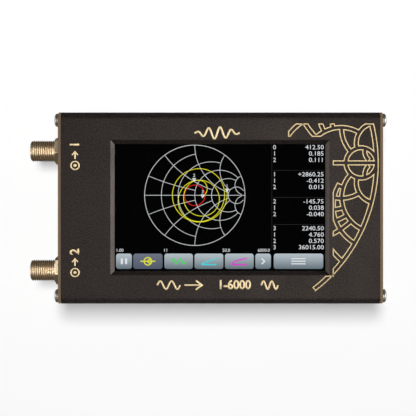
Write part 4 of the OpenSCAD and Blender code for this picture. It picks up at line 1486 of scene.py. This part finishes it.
board_green = circuit_board("board_green", (0.012, 0.075, 0.028), (0.035, 0.16, 0.06), 420)
tin = plated_metal("tin_plate", (0.70, 0.70, 0.69), (0.66, 0.66, 0.65), 0.36, 6000, 0.04)
epoxy = moulded("chip_epoxy", (0.016, 0.016, 0.017), (0.024, 0.024, 0.025), 0.5, 4200, 0.00001)
dressed("main_board", "green_main_board", 0.06 * mm, "circuit_board", board_green)
board_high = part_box("main_board")[1]
for node in ("port_1_shield", "port_2_shield", "synthesizer_shield"):
    can = machined(node, 0.2 * mm)
    low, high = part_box(node)
    across, along = int((high.x - low.x) / (5 * mm)), int((high.y - low.y) / (5 * mm))
    punches = []
    for i in range(across):
        for k in range(along):
            x = low.x + (high.x - low.x) * (i + 0.5) / across
            y = low.y + (high.y - low.y) * (k + 0.5) / along
            bpy.ops.mesh.primitive_cylinder_add(vertices=16, radius=0.55 * mm, depth=1.2 * mm,
                                                location=(x, y, high.z))
            punches.append(bpy.context.object)
    cut(can, joined(punches))
    flatten_shading(can)
    can.data.materials.append(tin)
    settle(can, "vented_" + node, "shield_can", node)
for node, edge in (("receiver_chips", 0.08), ("processor_chip", 0.18), ("logic_chip", 0.18),
                   ("memory_chip", 0.12), ("regulator_chips", 0.08)):
    dressed(node, node.replace("chip", "package"), edge * mm, "chip_black", epoxy)


def gull_wing(reach, height, width):
    """One bent lead of a package; it leaves the side at X = 0 and its foot stands on Z = 0."""
    bend = 0.12 * mm
    top = height * 0.55
    path = [(0, top), (reach * 0.3, top), (reach * 0.5, bend), (reach, bend)]
    bpy.ops.mesh.primitive_grid_add(x_subdivisions=3, y_subdivisions=1, size=1)
    lead = bpy.context.object
    for vertex in lead.data.vertices:
        x, z = path[round((vertex.co.x + 0.5) * 3)]
        vertex.co = (x, vertex.co.y * width, z)
    sheet = lead.modifiers.new("sheet", "SOLIDIFY")
    sheet.thickness = 0.13 * mm
    sheet.offset = -1
    bpy.ops.object.modifier_apply(modifier=sheet.name)
    return lead


four_sides, two_sides = (0, 1, 2, 3), (0, 2)
for node, lead_pitch, sides in (("processor_chip", 0.65, four_sides), ("logic_chip", 0.65, four_sides),
                                ("memory_chip", 0.8, two_sides)):
    low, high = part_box(node)
    lead = gull_wing(0.95 * mm, high.z - low.z, 0.3 * mm)
    lead.data.materials.append(tin)
    middle = (low + high) / 2
    moves = []
    for turn in sides:
        half = (high.x - low.x) / 2 if turn % 2 == 0 else (high.y - low.y) / 2
        run = (high.y - low.y) if turn % 2 == 0 else (high.x - low.x)
        count = int((run - 1.2 * mm) / (lead_pitch * mm))
        for i in range(count + 1):
            shift = (i - count / 2) * lead_pitch * mm
            moves.append(Matrix.Translation((middle.x, middle.y, board_high.z))
                         @ Matrix.Rotation(turn * math.pi / 2, 4, "Z")
                         @ Matrix.Translation((half - 0.05 * mm, shift, 0)))
    settle(spread(lead, moves), node.replace("chip", "leads"), "chip_black")

dressed("power_inductors", "moulded_inductors", 0.5 * mm, "inductor_ferrite",
        moulded("ferrite", (0.06, 0.06, 0.063), (0.09, 0.09, 0.093), 0.6, 5200, 0.00004))
dressed("reference_oscillator", "oscillator_cap", 0.35 * mm, "oscillator_can", tin)
tan_ceramic = moulded("tan_ceramic", (0.40, 0.26, 0.14), (0.32, 0.20, 0.11), 0.45, 5000, 0.00001)
capacitors = machined("capacitors", 0.07 * mm)
capacitors.data.materials.append(tan_ceramic)
capacitors.data.materials.append(tin)
for polygon in capacitors.data.polygons:
    polygon.material_index = 1 if abs(polygon.normal.y) > 0.6 else 0
settle(capacitors, "chip_capacitors", "capacitor_ceramic", "capacitors")

ivory = moulded("ivory_plastic", (0.74, 0.69, 0.56), (0.66, 0.61, 0.49), 0.4, 2600, 0.00001)
for node in ("display_flex_socket", "touch_flex_socket"):
    dressed(node, node.replace("flex", "film"), 0.12 * mm, "socket_plastic", ivory)
    low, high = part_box(node)
    tails = []
    count = int((high.y - low.y - 2 * mm) / (0.5 * mm))
    for i in range(count + 1):
        y = (low.y + high.y) / 2 + (i - count / 2) * 0.5 * mm
        tails.append(block((low.x - 0.7 * mm, y - 0.1 * mm, low.z),
                           (low.x + 0.1 * mm, y + 0.1 * mm, low.z + 0.15 * mm)))
    tails = joined(tails)
    tails.data.materials.append(contact_gold)
    settle(tails, node.replace("flex_socket", "socket_tails"), "contact_gold")


# ---------------------------------------------------------------------------
# Battery: a soft foil pouch on a foam pad, its guard board with two packages, and
# two leads to a plug on the underside of the main board.
# ---------------------------------------------------------------------------
dressed("battery", "foil_pouch", 1.4 * mm, "battery_foil",
        film("pouch_foil", (0.50, 0.51, 0.53), (0.50, 0.51, 0.53), 10, 0.85, 0.00012))
dressed("battery_guard_board", "guard_board_panel", 0.06 * mm, "guard_board",
        circuit_board("guard_green", (0.02, 0.09, 0.035), (0.05, 0.17, 0.07), 700))
guard_low, guard_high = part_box("battery_guard_board")
guards = joined([block((guard_low.x + 0.8 * mm, y * mm, guard_high.z),
                       (guard_high.x - 0.9 * mm, y * mm + 2.6 * mm, guard_high.z + 0.8 * mm))
                 for y in (-6.0, -1.2)])
edged(guards, 0.08 * mm)
guards.data.materials.append(epoxy)
settle(guards, "guard_packages", "chip_black")
dressed("battery_pad", "foam_pad", 0.08 * mm, "pad_foam",
        moulded("pale_foam", (0.62, 0.60, 0.54), (0.54, 0.52, 0.47), 0.9, 5200, 0.00006))
for node, colour in (("battery_lead_red", (0.50, 0.02, 0.02)), ("battery_lead_black", (0.015, 0.015, 0.015))):
    lead = machined(node, 0.02 * mm, 60)
    sleeve = moulded(node + "_sleeve", colour, tuple(0.8 * c for c in colour), 0.4, 2400, 0.000005)
    lead.data.materials.append(sleeve)
    settle(lead, node + "_wire", node.replace("battery_", ""), node)
dressed("battery_plug", "lead_plug", 0.2 * mm, "socket_plastic", ivory)
dressed("battery_socket", "lead_socket", 0.15 * mm, "socket_plastic", ivory)
